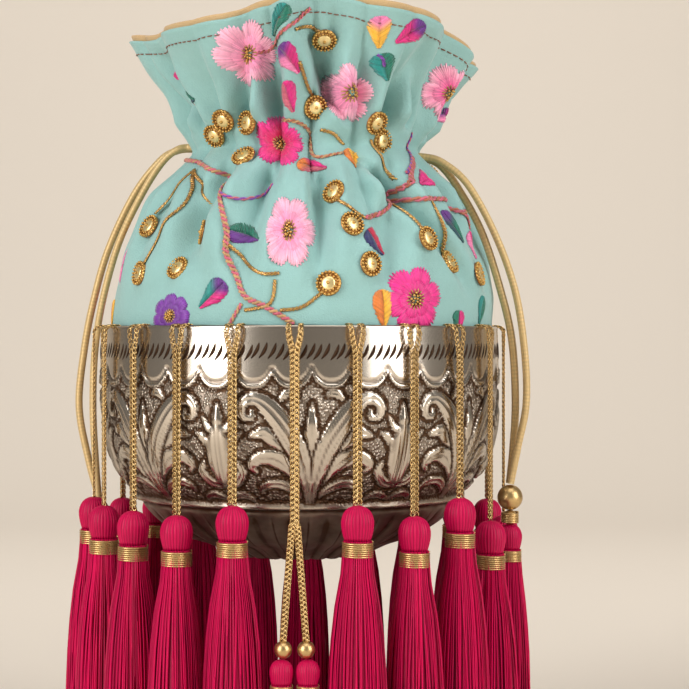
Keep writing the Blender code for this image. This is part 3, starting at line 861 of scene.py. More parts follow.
# %% [markdown]
# However deep a tuck is drawn, the skin never comes nearer to the axis than the lining allows.
# The outer cloth turns over at the hem: the last rows of points roll inwards and run a little way down
# the inside, so the edge has a true thickness. The lining stands 2 mm higher, which shows as a beige
# line along the hem, follows the ruffle closely, passes inside the cords, and hangs down in the bowl.

# %% Cloth skins
CLOTH_COLUMNS = 378
LINING_COLUMNS = 168
LINING_OUTLINE_MM = (
    (28.4, 140.0), (28.0, 134.0), (28.0, 127.0), (28.4, 119.5), (34.0, 111.0), (41.0, 103.0), (49.6, 94.0),
    (56.4, 85.0), (60.0, 75.0), (60.6, 64.0), (62.6, 50.0), (61.4, 39.0), (56.2, 27.8), (42.6, 13.8),
    (27.6, 6.2), (0.4, 3.4),
)


def face_area(thing):
    return sum(face.area for face in thing.data.polygons)


def make_outer_cloth():
    levels = np.interp(np.linspace(cloth_run[-1], 3.0, 98), cloth_run, cloth_outline[:, 1])
    roll = ((4.0, 1.5), (1.6, 1.3), (0.5, 1.05), (-0.05, 0.75), (-0.15, 0.4), (-0.1, 0.12))
    angle = np.arange(CLOTH_COLUMNS) * TAU / CLOTH_COLUMNS
    rows = [cloth_point(angle, np.full_like(angle, HEM_MM - drop), inset) for drop, inset in roll]
    rows += [cloth_point(angle, np.full_like(angle, level)) for level in levels]
    points = np.stack(rows) * MM
    cloth = mesh_object("embroidered_cloth", points.reshape(-1, 3), grid_quads(len(rows), CLOTH_COLUMNS),
                        aqua_cloth)
    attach(cloth, "bag")
    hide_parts("outer_fabric")
    print("outer cloth", len(cloth.data.polygons), "faces, area", round(face_area(cloth), 4), "m2")


def make_lining():
    angle = np.arange(LINING_COLUMNS) * TAU / LINING_COLUMNS
    rows = [cloth_point(angle, np.full_like(angle, HEM_MM - drop), inset) for drop, inset in
            ((4.0, 1.6), (0.5, 1.45), (-1.6, 0.9), (-2.1, 0.95), (-2.2, 1.6), (-1.6, 2.1))]
    rows += [cloth_point(angle, np.full_like(angle, level), 2.1) for level in np.linspace(HEM_MM, 146.0, 14)]
    waist = smooth_line(LINING_OUTLINE_MM, 2.2)
    for radius, height in waist:
        pleat = ridge(gather_phase(angle) + height / 16.0, GATHER_SHARPNESS) - 1.0
        reach = radius + 2.4 * smoothstep(96.0, 128.0, height) * pleat
        reach = np.minimum(reach, radius)
        lean = np.interp(height, LEAN_HEIGHTS_MM, LEAN_MM) * smoothstep(70.0, 100.0, height)
        rows.append(np.stack([reach * np.sin(angle) + lean, -reach * np.cos(angle), 0 * angle + height], -1))
    points = np.stack(rows) * MM
    verts = np.vstack([points.reshape(-1, 3), [[0.0, 0.0, LINING_OUTLINE_MM[-1][1] * MM]]])
    ring = np.arange(LINING_COLUMNS)
    last = (len(rows) - 1) * LINING_COLUMNS
    floor_fan = np.stack([last + (ring + 1) % LINING_COLUMNS, last + ring,
                          np.full(LINING_COLUMNS, len(verts) - 1)], -1)
    lining = mesh_object("lining_bag", verts, [grid_quads(len(rows), LINING_COLUMNS), floor_fan],
                         lining_cloth)
    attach(lining, "bag")
    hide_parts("lining")
    print("lining", len(lining.data.polygons), "faces, area", round(face_area(lining), 4), "m2")


def make_rim_gap_shadow():
    """Painted shadow: a dark line in the gap where the cloth goes down inside the bowl."""
    angle = np.linspace(0.0, TAU, 181)
    path = np.stack([63.4 * np.sin(angle), -63.4 * np.cos(angle), 74.15 + 0.12 * np.sin(23 * angle)], -1) * MM
    ups = np.broadcast_to([0.0, 0.0, 1.0], path.shape)
    size = np.full((1, 181), 0.5 * MM)
    verts, faces = sweep(path[None], ups[None], size, size, 5)
    # Painted shadow: this dark tube stands for the shade in the gap between cloth and rim.
    shadow_line = mesh_object("rim_gap_shadow", verts, faces, plain_finish("painted_rim_shadow", linear(52, 44, 38), 0.7))
    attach(shadow_line, "bag")


make_outer_cloth()
make_lining()
make_rim_gap_shadow()

# %% [markdown]
# ## Placing stitches on the cloth
# Embroidery is designed flat, so flowers and leaves are drawn in flat millimetres round a spot given as an
# angle and a height. The spot's flat distances turn into angles and heights on the cloth, and the cloth
# formula lifts them into space, so stitches follow each pleat and crease as thread would.

# %% Flat drawing to cloth
cloth_heights = cloth_outline[:, 1]
cloth_radii = cloth_outline[:, 0]


def on_cloth(flat, spot, spin_deg, lift):
    """Flat points (..., 2) in mm round a spot (degrees, height), as places in metres and ways out."""
    spin = math.radians(spin_deg)
    across = flat[..., 0] * math.cos(spin) - flat[..., 1] * math.sin(spin)
    upward = flat[..., 0] * math.sin(spin) + flat[..., 1] * math.cos(spin)
    run = np.interp(spot[1], cloth_heights, cloth_run) + upward
    angle = math.radians(spot[0]) + across / np.interp(spot[1], cloth_heights, cloth_radii)
    return cloth_spots(angle, np.interp(run, cloth_run, cloth_heights), lift)


def cloth_spots(angle, level, lift):
    out = cloth_normal(angle, level)
    return (cloth_point(angle, level) + out * np.asarray(lift)[..., None]) * MM, out


THREAD_CORNERS = 4
stitches = {"silk": [], "gold": [], "beads": []}
rng = np.random.default_rng(5)


def lay_thread(kind, paths, ups, widths, flatness, colours):
    """Threads swept along paths in space, kept until all stitches of their kind become one piece."""
    verts, faces = sweep(paths, ups, widths, widths * flatness, THREAD_CORNERS)
    stitches[kind].append((verts, faces, np.repeat(np.reshape(colours, (-1, 3)), THREAD_CORNERS, 0)))


def sew(kind, flat, spot, spin_deg, width, colours, lift):
    """Threads along flat paths (threads, points, 2), thin at both ends; colours (threads, points, 3)."""
    share = np.linspace(0.0, 1.0, flat.shape[1])
    arch = np.sin(share * math.pi) ** 0.5
    paths, ups = on_cloth(flat, spot, spin_deg, lift * (0.25 + 0.75 * arch) * np.ones(flat.shape[:2]))
    widths = width * 0.5 * (0.72 + 0.28 * arch) * np.ones(flat.shape[:2]) * MM
    lay_thread(kind, paths, ups, widths, 0.62, colours)


def shade(first, second, share, spread=0.2):
    """Colours between two, (threads, points, 3), each thread a little lighter or darker."""
    share = np.asarray(share)[..., None]
    base = np.asarray(first) * (1.0 - share) + np.asarray(second) * share
    return base * (1.0 + rng.uniform(-spread, spread, (len(base),) + (1,) * (base.ndim - 1)))


SILKS = {
    "pink": linear(238, 132, 180), "hot": linear(232, 40, 142), "pale": linear(248, 186, 206),
    "magenta": linear(214, 22, 124), "red": linear(196, 24, 70), "purple": linear(98, 34, 132),
    "violet": linear(128, 56, 166), "green": linear(14, 112, 92), "deep": linear(12, 70, 84),
    "yellow": linear(234, 176, 52), "amber": linear(214, 120, 40), "rust": linear(168, 92, 66),
    "brown": linear(120, 66, 34), "gold": linear(204, 162, 92), "bright": linear(244, 220, 158),
    "navy": linear(34, 40, 96), "sand": linear(188, 146, 98), "rose": linear(196, 92, 112),
    "teal": linear(24, 134, 128),
}

# %% [markdown]
# ### Flowers
# Petals are worked in long and short stitch: threads fan out from the heart, a long one beside a shorter
# one, and a second shorter ring covers their roots. The petal's outline is the thread ends themselves.
# The heart is a heap of small gold knots with stamen stitches round it.

# %% Flower


def flower(spot, radius, petals, inner, outer, stretch, spin_deg, threads=22):
    count = int(petals * threads)
    turn = (np.arange(count) + 0.5) * TAU / count
    lobe = np.abs(np.cos(petals * turn / 2.0 + 0.4)) ** 0.36
    jag = 1.0 - 0.055 * (np.arange(count) % 2) + rng.uniform(-0.02, 0.02, count)
    for low, high, width in ((0.5, 1.0, 0.8), (0.2, 0.66, 0.6)):
        reach = radius * (0.58 + 0.42 * lobe) * jag
        share = np.linspace(low, high, 4)
        length = reach[:, None] * share
        skew = turn[:, None] + 0.10 * (share - low) * np.sin(petals * turn + 0.8)[:, None]
        flat = np.stack([length * np.cos(skew), stretch * length * np.sin(skew)], -1)
        keep = lobe > 0.3
        tone = (share - 0.2) / 0.8
        colours = shade(SILKS[inner], SILKS[outer], np.broadcast_to(tone, (count, 4)))
        sew("silk", flat[keep], spot, spin_deg, width, colours[keep], 0.3 + 0.12 * (low < 0.5))
    stamens = 16
    ray = (np.arange(stamens) + 0.5) * TAU / stamens
    length = radius * np.linspace(0.12, 0.4, 3)
    flat = np.stack([np.cos(ray)[:, None] * length, stretch * np.sin(ray)[:, None] * length], -1)
    colours = shade(SILKS["brown"], SILKS["gold"], np.broadcast_to([0.0, 0.6, 1.0], (stamens, 3)))
    sew("silk", flat, spot, spin_deg, 0.5, colours, 0.62)
    knots(spot, radius * 0.2, stretch, spin_deg)


def knots(spot, radius, stretch, spin_deg):
    count = 13
    turn = np.arange(count) * 2.4
    away = radius * np.sqrt((np.arange(count) + 0.3) / count)
    flat = np.stack([away * np.cos(turn), stretch * away * np.sin(turn)], -1)
    place_beads(flat, spot, spin_deg, 0.48, 0.75, SILKS["gold"])


def place_beads(flat, spot, spin_deg, radius, lift, colour):
    places, out = on_cloth(flat, spot, spin_deg, np.full(flat.shape[:-1], lift))
    side = unit(np.cross(out, [0.0, 0.0, 1.0]))
    above = np.cross(side, out)
    frames = np.stack([places, side * radius * MM, above * radius * MM, out * radius * MM], 1)
    points, faces = ball(6, 3)
    verts, made = copies(points, faces, frames)
    tone = np.repeat(np.asarray(colour) * (1.0 + rng.uniform(-0.15, 0.15, (len(places), 1))), len(points), 0)
    stitches["beads"].append((verts, made, tone))


# %% [markdown]
# ### Leaves, buds and roundels
# A leaf is two rows of slanting satin stitches that meet at the midrib, each half in its own silk. A
# roundel is a stiff gold medallion: a low turned disc with two rings of small beads on it, which stand
# for coiled gold wire, and one bead in the middle. A vine is two strands twisted round each other.

# %% Leaf, roundel and vine


def leaf(spot, length, width, spin_deg, left, right, tip):
    length, width = 1.15 * length, 1.05 * width
    count = max(6, int(length / 0.42))
    along = (np.arange(count) + 0.5) / count
    half = width * 0.62 * np.sin(np.clip(along, 0.04, 1.0) * math.pi) ** 0.75
    share = np.linspace(0.0, 1.0, 4)
    for side, silk in ((1.0, left), (-1.0, right)):
        across = side * (half * rng.uniform(0.92, 1.08, count))[:, None] * share
        up = length * (along[:, None] - 0.55) + half[:, None] * share * 0.75
        end = SILKS[tip] if tip else SILKS[silk]
        tone = np.broadcast_to(smoothstep(0.45, 0.8, along)[:, None], (count, 4))
        sew("silk", np.stack([across, up], -1), spot, spin_deg, 0.66, shade(SILKS[silk], end, tone), 0.32)


def roundel(spot):
    """A stiff little medallion: it rests on the cloth as a whole instead of bending into the pleats."""
    turn = np.arange(12) * TAU / 12
    under, out = on_cloth(np.stack([2.2 * np.cos(turn), 2.2 * np.sin(turn)], -1), spot, 0.0, np.full(12, 0.2))
    out = unit(out.mean(0))
    side = unit(np.cross(out, [0.0, 0.0, 1.0]))
    frame_axes = np.stack([side, np.cross(side, out), out]) * MM
    centre = under.mean(0)
    centre = centre + out * ((under - centre) @ out).max()

    def placed(reach, count, lift):
        angle = np.arange(count) * TAU / count
        local = np.stack([reach * np.cos(angle), reach * np.sin(angle), np.full(count, lift)], -1)
        return centre + local @ frame_axes

    rings = ((3.9, -0.35), (3.7, 0.2), (2.2, 0.3), (2.05, 0.55), (1.5, 0.7), (0.8, 0.85), (0.02, 0.85))
    disc = np.stack([placed(reach, 18, lift) for reach, lift in rings])
    tone = np.repeat(np.array([SILKS["brown"], SILKS["gold"], SILKS["brown"]] + [SILKS["bright"]] * 4), 18, 0)
    stitches["beads"].append((disc.reshape(-1, 3), [grid_quads(len(rings), 18)], tone))
    points, faces = ball(6, 3)
    for reach, count, bead in ((2.45, 14, 0.46), (3.5, 19, 0.52), (0.0, 1, 0.6)):
        spots = placed(reach, count, 0.35 if count > 1 else 0.95)
        frames = np.concatenate([spots[:, None], np.tile(frame_axes * bead, (count, 1, 1))], 1)
        verts, made = copies(points, faces, frames)
        beads_tone = np.asarray(SILKS["gold"]) * (1.0 + rng.uniform(-0.15, 0.15, (count, 1)))
        stitches["beads"].append((verts, made, np.repeat(beads_tone, len(points), 0)))


def vine(points, first, second, width=1.2, kind="silk", pitch=2.6):
    """A two-strand twist through spots given as (degrees, height)."""
    spots = np.asarray(points, float)
    local = np.interp(spots[:, 1], cloth_heights, cloth_radii)
    run = np.interp(spots[:, 1], cloth_heights, cloth_run)
    mean_radius = local.mean()
    line = smooth_line(np.stack([np.radians(spots[:, 0]) * mean_radius, run], -1), 0.55)
    side = unit(np.gradient(line, axis=0))[:, ::-1] * [1.0, -1.0]
    travel = np.arange(len(line)) * 0.55
    for colour, start in ((first, 0.0), (second, math.pi)):
        phase = travel * TAU / pitch + start
        laid = line + side * (0.42 * width * np.cos(phase))[:, None]
        level = np.interp(laid[:, 1], cloth_run, cloth_heights)
        lift = 0.28 + 0.3 * width * (1.0 + np.sin(phase)) * 0.5
        paths, ups = cloth_spots(laid[:, 0] / mean_radius, level, lift)
        widths = np.full((1, len(line)), 0.42 * width * MM)
        tone = shade(SILKS[colour], SILKS[colour], np.zeros((len(line), 1)), 0.18)
        lay_thread(kind, paths[None], ups[None], widths, 0.8, tone)


# %% [markdown]
# ### The pattern
# A branching vine with blossoms, two-tone leaves and gold roundels covers the cloth, as on much Indian
# embroidery. On the front every motif has a place of its own, given as an angle and a height. On the
# back one group of the same kinds of motif is laid three times, side by side, a little less densely.

# %% Pattern
# Each flower: place, radius, petals, inner and outer silk, stretch, turn in degrees.
FRONT_FLOWERS = (
    ((-21, 157.5), 9.6, 6, "pink", "pale", 1.15, 10), ((20, 145), 8.0, 5, "pink", "pale", 1.1, 30),
    ((76, 153), 10.5, 5, "hot", "pale", 1.1, 0), ((-12, 131), 7.4, 5, "red", "hot", 1.4, 20),
    ((-4, 103), 8.2, 6, "pink", "pale", 1.5, 6), ((34, 82.5), 10.4, 6, "magenta", "hot", 1.0, 20),
    ((-39, 77.5), 7.8, 7, "purple", "violet", 0.9, 0), ((-77, 95), 7.0, 5, "magenta", "pink", 1.1, 40),
)
# Each leaf: place, length, width, turn in degrees, the silks of its left and right half and of its tip.
FRONT_LEAVES = (
    ((-65, 156.5), 8, 5, 60, "purple", "magenta", None), ((-57, 148), 9.5, 5, 75, "green", "deep", None),
    ((-7, 164), 8.0, 4.6, -40, "green", "teal", None),
    ((-5, 153.5), 9.5, 5, 30, "magenta", "pink", "purple"),
    ((28, 162), 8.5, 5, 10, "yellow", "yellow", "pink"),
    ((39, 163), 10, 5, -50, "magenta", "magenta", "purple"),
    ((32, 153), 8, 5, 20, "green", "teal", None), ((3, 124), 8.5, 4.6, 80, "magenta", "rose", "amber"),
    ((22, 127), 7.5, 4.2, 10, "yellow", "amber", None), ((-18, 102), 9, 5, 70, "green", "purple", None),
    ((-25, 84), 9.5, 5.6, -45, "magenta", "teal", "purple"),
    ((24, 80), 10, 5.4, 5, "yellow", "amber", None),
    ((53, 121), 9, 5, -60, "magenta", "magenta", "amber"),
    ((54, 106), 10.5, 5.2, 25, "green", "deep", "purple"),
    ((73, 101), 9, 4.8, 30, "magenta", "pink", None), ((23, 100), 9, 5, 40, "red", "navy", None),
    ((52, 75.5), 7, 4.6, 0, "magenta", "green", None), ((-6, 144), 8, 4.4, 15, "magenta", "rose", None),
    ((66, 80), 8, 4.6, -20, "green", "teal", None), ((-80, 79), 8, 4.8, 20, "yellow", "amber", None),
)
FRONT_ROUNDELS = (
    (-38, 140), (-47, 135), (-27, 127), (-26, 138), (9, 158), (5, 141), (33, 138), (41, 133), (-61, 106),
    (-33, 103), (-40, 92), (-56, 91), (11, 115), (15, 105), (20, 93), (39, 101), (50, 94), (8, 87),
    (63, 91), (-74, 110),
)
# Each vine: the places it runs through, its two silks and its width.
FRONT_VINES = (
    (((-84, 129), (-60, 127), (-40, 123), (-29, 117), (-23, 104), (-22, 96), (-18, 88), (-15, 83),
      (-9, 80), (-1, 75)), "rose", "sand", 1.2),
    (((-31, 117), (-21, 113), (-12, 118)), "rose", "violet", 0.8),
    (((56, 128), (42, 120), (34, 113), (27, 109), (20, 107)), "rust", "rose", 1.2),
    (((34, 113), (45, 114), (59, 114), (70, 111), (74, 106)), "rust", "rose", 1.2),
    (((3, 165), (-4, 161), (-12, 158), (-18, 157)), "rose", "rust", 0.9),
    (((-10, 138), (-3, 137), (3, 134), (5, 127), (17, 128)), "rust", "sand", 0.85),
    (((63, 137), (57, 129), (43, 122)), "rose", "violet", 0.85),
    (((-65, 153), (-60, 149), (-54, 146)), "red", "rust", 0.7),
    (((29, 156), (31, 155), (32, 153)), "purple", "violet", 0.7),
    (((-16, 81), (-19, 75)), "rose", "sand", 0.9),
)
FRONT_GOLD_SPRIGS = (
    ((-54, 124), (-46, 113), (-49, 105), (-54, 94)), ((-54, 124), (-41, 114), (-34, 106)),
    ((-23, 100), (-19, 96), (-16, 93), (-11, 90), (-6, 90)), ((-7, 88), (-8, 81), (-15, 79)),
    ((-5, 79), (1, 80), (7, 85)), ((-2, 160), (3, 161), (8, 159)), ((-1, 152), (2, 146), (5, 143)),
    ((8, 135), (14, 134), (19, 131)), ((20, 107), (12, 112), (11, 114)),
    ((34, 113), (37, 105), (38, 103)), ((45, 114), (49, 104), (50, 97)),
    ((33, 133), (36, 127), (38, 120)), ((-61, 110), (-58, 116), (-54, 124)),
)
BACK_TURNS_DEG = (112, 172, 232)
BACK_FLOWERS = (
    ((0, 99), 8.6, 6, "pink", "pale"), ((26, 82), 7.6, 6, "magenta", "pink"),
    ((12, 152), 8.0, 5, "pink", "pale"),
)
# Each leaf of the back: place, length, turn in degrees, and the three silks.
BACK_LEAVES = (
    ((12, 112), 9, 40, "green", "deep", "purple"), ((-16, 84), 9, -30, "magenta", "teal", "purple"),
    ((36, 104), 8.5, 20, "yellow", "amber", None), ((-14, 148), 9, 60, "magenta", "pink", "purple"),
    ((36, 148), 8, -40, "green", "teal", None), ((20, 128), 8, 80, "magenta", "rose", "amber"),
)
BACK_ROUNDELS = ((-14, 104), (8, 84), (24, 94), (4, 141), (30, 138), (-8, 126), (28, 118))
BACK_VINES = (
    (((-28, 112), (-12, 115), (0, 112), (14, 100), (20, 90)), "rose", "sand"),
    (((0, 112), (16, 118), (32, 112)), "rust", "rose", 0.9),
    (((14, 100), (22, 97)), "gold", "sand", 0.85, "gold", 2.0),
    (((-16, 158), (0, 160), (12, 158)), "rose", "rust", 0.9),
)
HEM_STITCHES = 150


def front_pattern():
    for motif in FRONT_FLOWERS:
        flower(*motif)
    for motif in FRONT_LEAVES:
        leaf(*motif)
    for spot in FRONT_ROUNDELS:
        roundel(spot)
    for motif in FRONT_VINES:
        vine(*motif)
    for points in FRONT_GOLD_SPRIGS:
        vine(points, "gold", "sand", 0.85, "gold", 2.0)


def back_pattern():
    for turn_deg in BACK_TURNS_DEG:
        def turned(spot):
            return spot[0] + turn_deg, spot[1]

        for spot, radius, petals, inner, outer in BACK_FLOWERS:
            flower(turned(spot), radius, petals, inner, outer, 1.2, turn_deg, threads=16)
        for spot, length, spin_deg, left, right, tip in BACK_LEAVES:
            leaf(turned(spot), length, 5, spin_deg, left, right, tip)
        for spot in BACK_ROUNDELS:
            roundel(turned(spot))
        for points, *silks in BACK_VINES:
            vine([turned(spot) for spot in points], *silks)


def running_stitches():
    """A row of small brown stitches along the hem."""
    start = np.arange(HEM_STITCHES) * TAU / HEM_STITCHES
    angle = start[:, None] + np.linspace(0.0, 0.7, 4) * TAU / HEM_STITCHES
    lift = np.array([0.05, 0.24, 0.24, 0.05]) + 0 * angle
    paths, ups = cloth_spots(angle, np.full_like(angle, HEM_MM - 4.2), lift)
    tone = shade(SILKS["brown"], SILKS["brown"], np.zeros((HEM_STITCHES, 4)))
    lay_thread("silk", paths, ups, np.full_like(angle, 0.2 * MM), 0.8, tone)


def finish_stitches(kind, name, finish):
    verts, faces = gather([(points, made) for points, made, _ in stitches[kind]])
    tint = np.concatenate([tone for _, _, tone in stitches[kind]])
    piece = mesh_object(name, verts, faces, finish, tint=tint)
    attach(piece, "bag")
    print(name, sum(len(face.vertices) - 2 for face in piece.data.polygons), "triangles")


front_pattern()
running_stitches()
finish_stitches("silk", "embroidery_silk", silk_thread)
stitches["silk"].clear()
back_pattern()
finish_stitches("silk", "embroidery_silk_back", silk_thread)
finish_stitches("gold", "embroidery_gold", gold_thread)
finish_stitches("beads", "embroidery_beads", gold_thread)

# %% [markdown]
# ## Tassels
# A tassel is a bundle of silk threads folded over and bound below the fold. The fold makes the round
# head, with its threads running over it from pole to neck, and gold wire wraps the neck. Below, the
# threads spread into a soft skirt with a ragged end. A grooved inner body stops light passing through,
# and loose strands lie on it. Painted shade darkens the grooves of head and body, and the whole inner
# body, as the shade between the strands. Their strengths of colour differ a little, which reads as silk.

# %% Tassel shape
TASSEL_HEAD_MM = ((0.6, 0.2), (2.4, -0.3), (4.0, -1.7), (4.85, -3.9), (4.9, -5.9), (4.5, -8.2), (3.9, -10.2))
TASSEL_SKIRT_MM = ((3.9, -10.2), (3.55, -12.5), (3.7, -15.0), (4.7, -20.0), (6.2, -28.0), (7.4, -38.0),
                   (8.3, -52.0), (8.8, -70.0), (9.1, -89.5))
STRAND_WIDTH_MM = 0.62
BINDING_TURNS = 7
WIRE_STEPS = 22


def gold_tint(count):
    """The same gold for every point of a piece."""
    return np.tile(GOLD, (count, 1))


def bundle(outline, scale, grooves, depth, step, seed):
    """A grooved turned body, in mm, from an outline of (radius, height) run from top to bottom."""
    rows = smooth_line(outline, step) * scale
    columns = grooves * 3
    turn = np.arange(columns) * TAU / columns
    local = np.random.default_rng(seed)
    groove = depth * (np.arange(columns) % 3 == 0) * local.uniform(0.5, 1.3, columns)
    share = np.minimum(rows[:, 0] / (3.0 * scale), 1.0)
    radius = rows[:, 0][:, None] - groove * share[:, None]
    height = np.broadcast_to(rows[:, 1][:, None], radius.shape)
    points = np.stack([radius * np.cos(turn), radius * np.sin(turn), height], -1)
    verts = np.vstack([points.reshape(-1, 3), [[0, 0, rows[0, 1]], [0, 0, rows[-1, 1] + 1.0]]])
    ring = np.arange(columns)
    after = (ring + 1) % columns
    last = (len(rows) - 1) * columns
    top = np.stack([np.full(columns, len(verts) - 2), ring, after], -1)
    bottom = np.stack([last + after, last + ring, np.full(columns, len(verts) - 1)], -1)
    # Painted shade: the columns at the grooves are darker, and the bottom pole darker still.
    tone = 1.0 - 0.35 * (np.arange(columns) % 3 == 0) + local.uniform(-0.1, 0.1, columns)
    tint = np.append(np.tile(tone, len(rows)), [1.0, 0.6])
    return verts, [grid_quads(len(rows), columns), top, bottom], tint


def skirt_strands(outline, scale, count, seed):
    """Loose threads laid over the skirt, each with its own sway, length and strength of colour."""
    local = np.random.default_rng(seed)
    rows = smooth_line(outline, 10.0)
    turn = (np.arange(count) + local.uniform(-0.4, 0.4, count)) * TAU / count
    share = np.linspace(0.0, 1.0, len(rows))
    lengths = 1.0 + local.uniform(-0.035, 0.012, count)
    drift = local.normal(0.0, 0.16, count)[:, None] * share ** 1.5
    wave = 0.05 * np.sin(share * 7.0 + local.uniform(0, TAU, count)[:, None]) * share
    angle = turn[:, None] + drift + wave
    lift = local.uniform(-0.15, 0.35, count)[:, None] + local.uniform(-0.3, 0.55, count)[:, None] * share ** 3
    radius = (rows[:, 0] + lift) * scale
    height = rows[0, 1] + (rows[:, 1] - rows[0, 1]) * lengths[:, None]
    paths = np.stack([radius * np.cos(angle), radius * np.sin(angle), height * scale], -1)
    ups = np.stack([np.cos(angle), np.sin(angle), 0 * angle], -1)
    widths = STRAND_WIDTH_MM * 0.5 * scale ** 0.5 * (0.75 + 0.5 * share) * np.ones_like(angle)
    verts, faces = sweep(paths, ups, widths, widths * 0.7, 3)
    tone = np.repeat(1.0 + local.uniform(-0.28, 0.3, count), len(rows) * 3)
    return verts, faces, tone


def wound_wire(radius, top, bottom, turns, wire_radius):
    """Wire wrapped round a neck, in mm."""
    share = np.linspace(0.0, 1.0, turns * WIRE_STEPS + 1)
    turn = share * turns * TAU
    path = np.stack([radius * np.cos(turn), radius * np.sin(turn), top + (bottom - top) * share], -1)
    ups = np.stack([np.cos(turn), np.sin(turn), 0 * turn], -1)
    widths = np.full((1, len(path)), wire_radius)
    verts, faces = sweep(path[None], ups[None], widths, widths, 4)
    return verts, faces


def tassel_blocks(scale, strands, seed, skirt=TASSEL_SKIRT_MM):
    head = bundle(TASSEL_HEAD_MM, scale, 30, 0.34 * scale, 1.2, seed)
    inner = [(max(radius - 0.35, 0.5), height * (0.985 if height < -40 else 1.0)) for radius, height in skirt]
    core = bundle(inner, scale, 17, 0.4 * scale, 6.0, seed + 1)
    loose = skirt_strands(skirt, scale, strands, seed + 2)
    verts, faces = gather([head[:2], core[:2], loose[:2]])
    # Painted shade: the inner body is darker, as the shade between the loose strands.
    tone = np.concatenate([head[2], core[2] * 0.62, loose[2]])
    binding = wound_wire(4.45 * scale, -10.5 * scale, -14.9 * scale, BINDING_TURNS, 0.34 * scale ** 0.6)
    return (verts, faces, tone), binding


def hang(name, body, top_mm, silk, binding, node):
    """The silk and the binding of one tassel, hung with its head at a place given in mm."""
    verts, faces, tone = silk
    tint = np.clip(tone, 0.2, 1.6)[:, None] * np.asarray(MAGENTA)
    silk_piece = mesh_object(name, (verts + top_mm) * MM, faces, tassel_silk, tint=tint)
    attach(silk_piece, body)
    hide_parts(node)
    wrap = mesh_object(name + "_binding", (binding[0] + top_mm) * MM, binding[1], gold_thread,
                       tint=gold_tint(len(binding[0])))
    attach(wrap, body)


# %% [markdown]
# ## Chains
# Each tassel hangs on a strand of flat gold chain. Seen close, it is two columns of oval links that lean
# towards each other, like a plait. At the rim the two columns part and pass over the edge side by side.
# The short piece over the rim stays with the bowl, and the long piece swings with its tassel.

# %% Chain
HANG_RADIUS_MM = 67.4
HINGE_MM = 73.6
LINK_PITCH_MM = 1.55
COLUMN_MM = 0.62
PARTED_MM = 1.2
MERGE_MM = 7.5
chain_points, chain_faces = link(0.98, 0.62, 0.26, 8, 3)
# Each drop's angle in degrees and the height of its tassel's head.
STATIONS = (
    (16, 20.9), (32, 17.1), (48, 21.7), (64, 13.3), (92, 12), (109.6, 16), (127.2, 16), (144.8, 16),
    (162.4, 16), (180, 16), (-164, 16), (-147, 16), (-130, 16), (-114, 16), (-84, 19), (-65, 18),
    (-48, 17.7), (-32, 17.4), (-16, 20.9),
)


def chain_frames(line, outward, sideways, split):
    """Where each link of a two-column chain sits. line runs down the chain in mm."""
    along = unit(np.gradient(line, axis=0))
    frames = []
    for side in (-1.0, 1.0):
        centre = line + sideways * (side * (COLUMN_MM + split))[:, None]
        tilt = math.radians(30.0) * side
        down = along * math.cos(tilt) + sideways * math.sin(tilt)
        across = unit(np.cross(down, outward))
        for start, roll_deg in ((0, 28.0), (1, -28.0)):
            roll = math.radians(roll_deg)
            first = across * math.cos(roll) + outward * math.sin(roll)
            second = np.cross(down, first)
            block = np.stack([centre, first, second, down], 1)
            frames.append(block[start::2])
    return np.concatenate(frames)


def strand(top_mm, bottom_mm, angle_deg):
    """Chain links down the bowl's side at an angle, in mm."""
    angle = math.radians(angle_deg)
    out = np.array([math.sin(angle), -math.cos(angle), 0.0])
    side = np.array([math.cos(angle), math.sin(angle), 0.0])
    heights = np.arange(top_mm, bottom_mm, -LINK_PITCH_MM / 2)
    line = out * HANG_RADIUS_MM + np.stack([0 * heights, 0 * heights, heights], -1)
    split = PARTED_MM * smoothstep(top_mm - MERGE_MM, top_mm, heights)
    outward = np.broadcast_to(out, line.shape)
    sideways = np.broadcast_to(side, line.shape)
    return copies(chain_points, chain_faces, chain_frames(line, outward, sideways, split))


def make_drops():
    for number, (angle_deg, head_mm) in enumerate(STATIONS, 1):
        label = f"{number:02d}"
        body = "drop_" + label
        angle = math.radians(angle_deg)
        centre = np.array([HANG_RADIUS_MM * math.sin(angle), -HANG_RADIUS_MM * math.cos(angle), head_mm])
        silk, binding = tassel_blocks(1.0, 104, 40 + number)
        hang("silk_tassel_" + label, body, centre, silk, binding, "tassel_" + label)
        verts, faces = strand(HINGE_MM - 0.6, head_mm + 0.3, angle_deg)
        piece = mesh_object("link_chain_" + label, verts * MM, faces, polished_gold,
                            tint=gold_tint(len(verts)))
        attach(piece, body)
        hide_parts("chain_" + label)


def make_rim_loops():
    """The two columns of every chain, carried over the rim and down inside."""
    turn = np.radians(np.linspace(0.0, 180.0, 7))
    over = np.stack([64.5 + 2.5 * np.cos(turn), 73.7 + 1.1 * np.sin(turn)], -1)
    path = np.vstack([over, [[62.0, 72.4], [62.0, 71.0]]])
    path = smooth_line(path, LINK_PITCH_MM / 2)
    frames = []
    for angle_deg in [station[0] for station in STATIONS] + [0.0]:
        angle = math.radians(angle_deg)
        out = np.array([math.sin(angle), -math.cos(angle), 0.0])
        side = np.array([math.cos(angle), math.sin(angle), 0.0])
        line = out * path[:, :1] + np.array([0.0, 0.0, 1.0]) * path[:, 1:]
        along = unit(np.gradient(line, axis=0))
        sideways = np.broadcast_to(side, line.shape)
        frames.append(chain_frames(line, np.cross(sideways, along), sideways, np.full(len(line), PARTED_MM)))
    verts, faces = copies(chain_points, chain_faces, np.concatenate(frames))
    loops = mesh_object("rim_loops", verts * MM, faces, polished_gold, tint=gold_tint(len(verts)))
    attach(loops, "bag")


make_drops()
make_rim_loops()
print("drops ready")

# %% [markdown]
# ## The centre drop
# The front chain divides into two thinner chains, each with a satin gold bead and a small bound tassel.
# The whole drop swings as one.

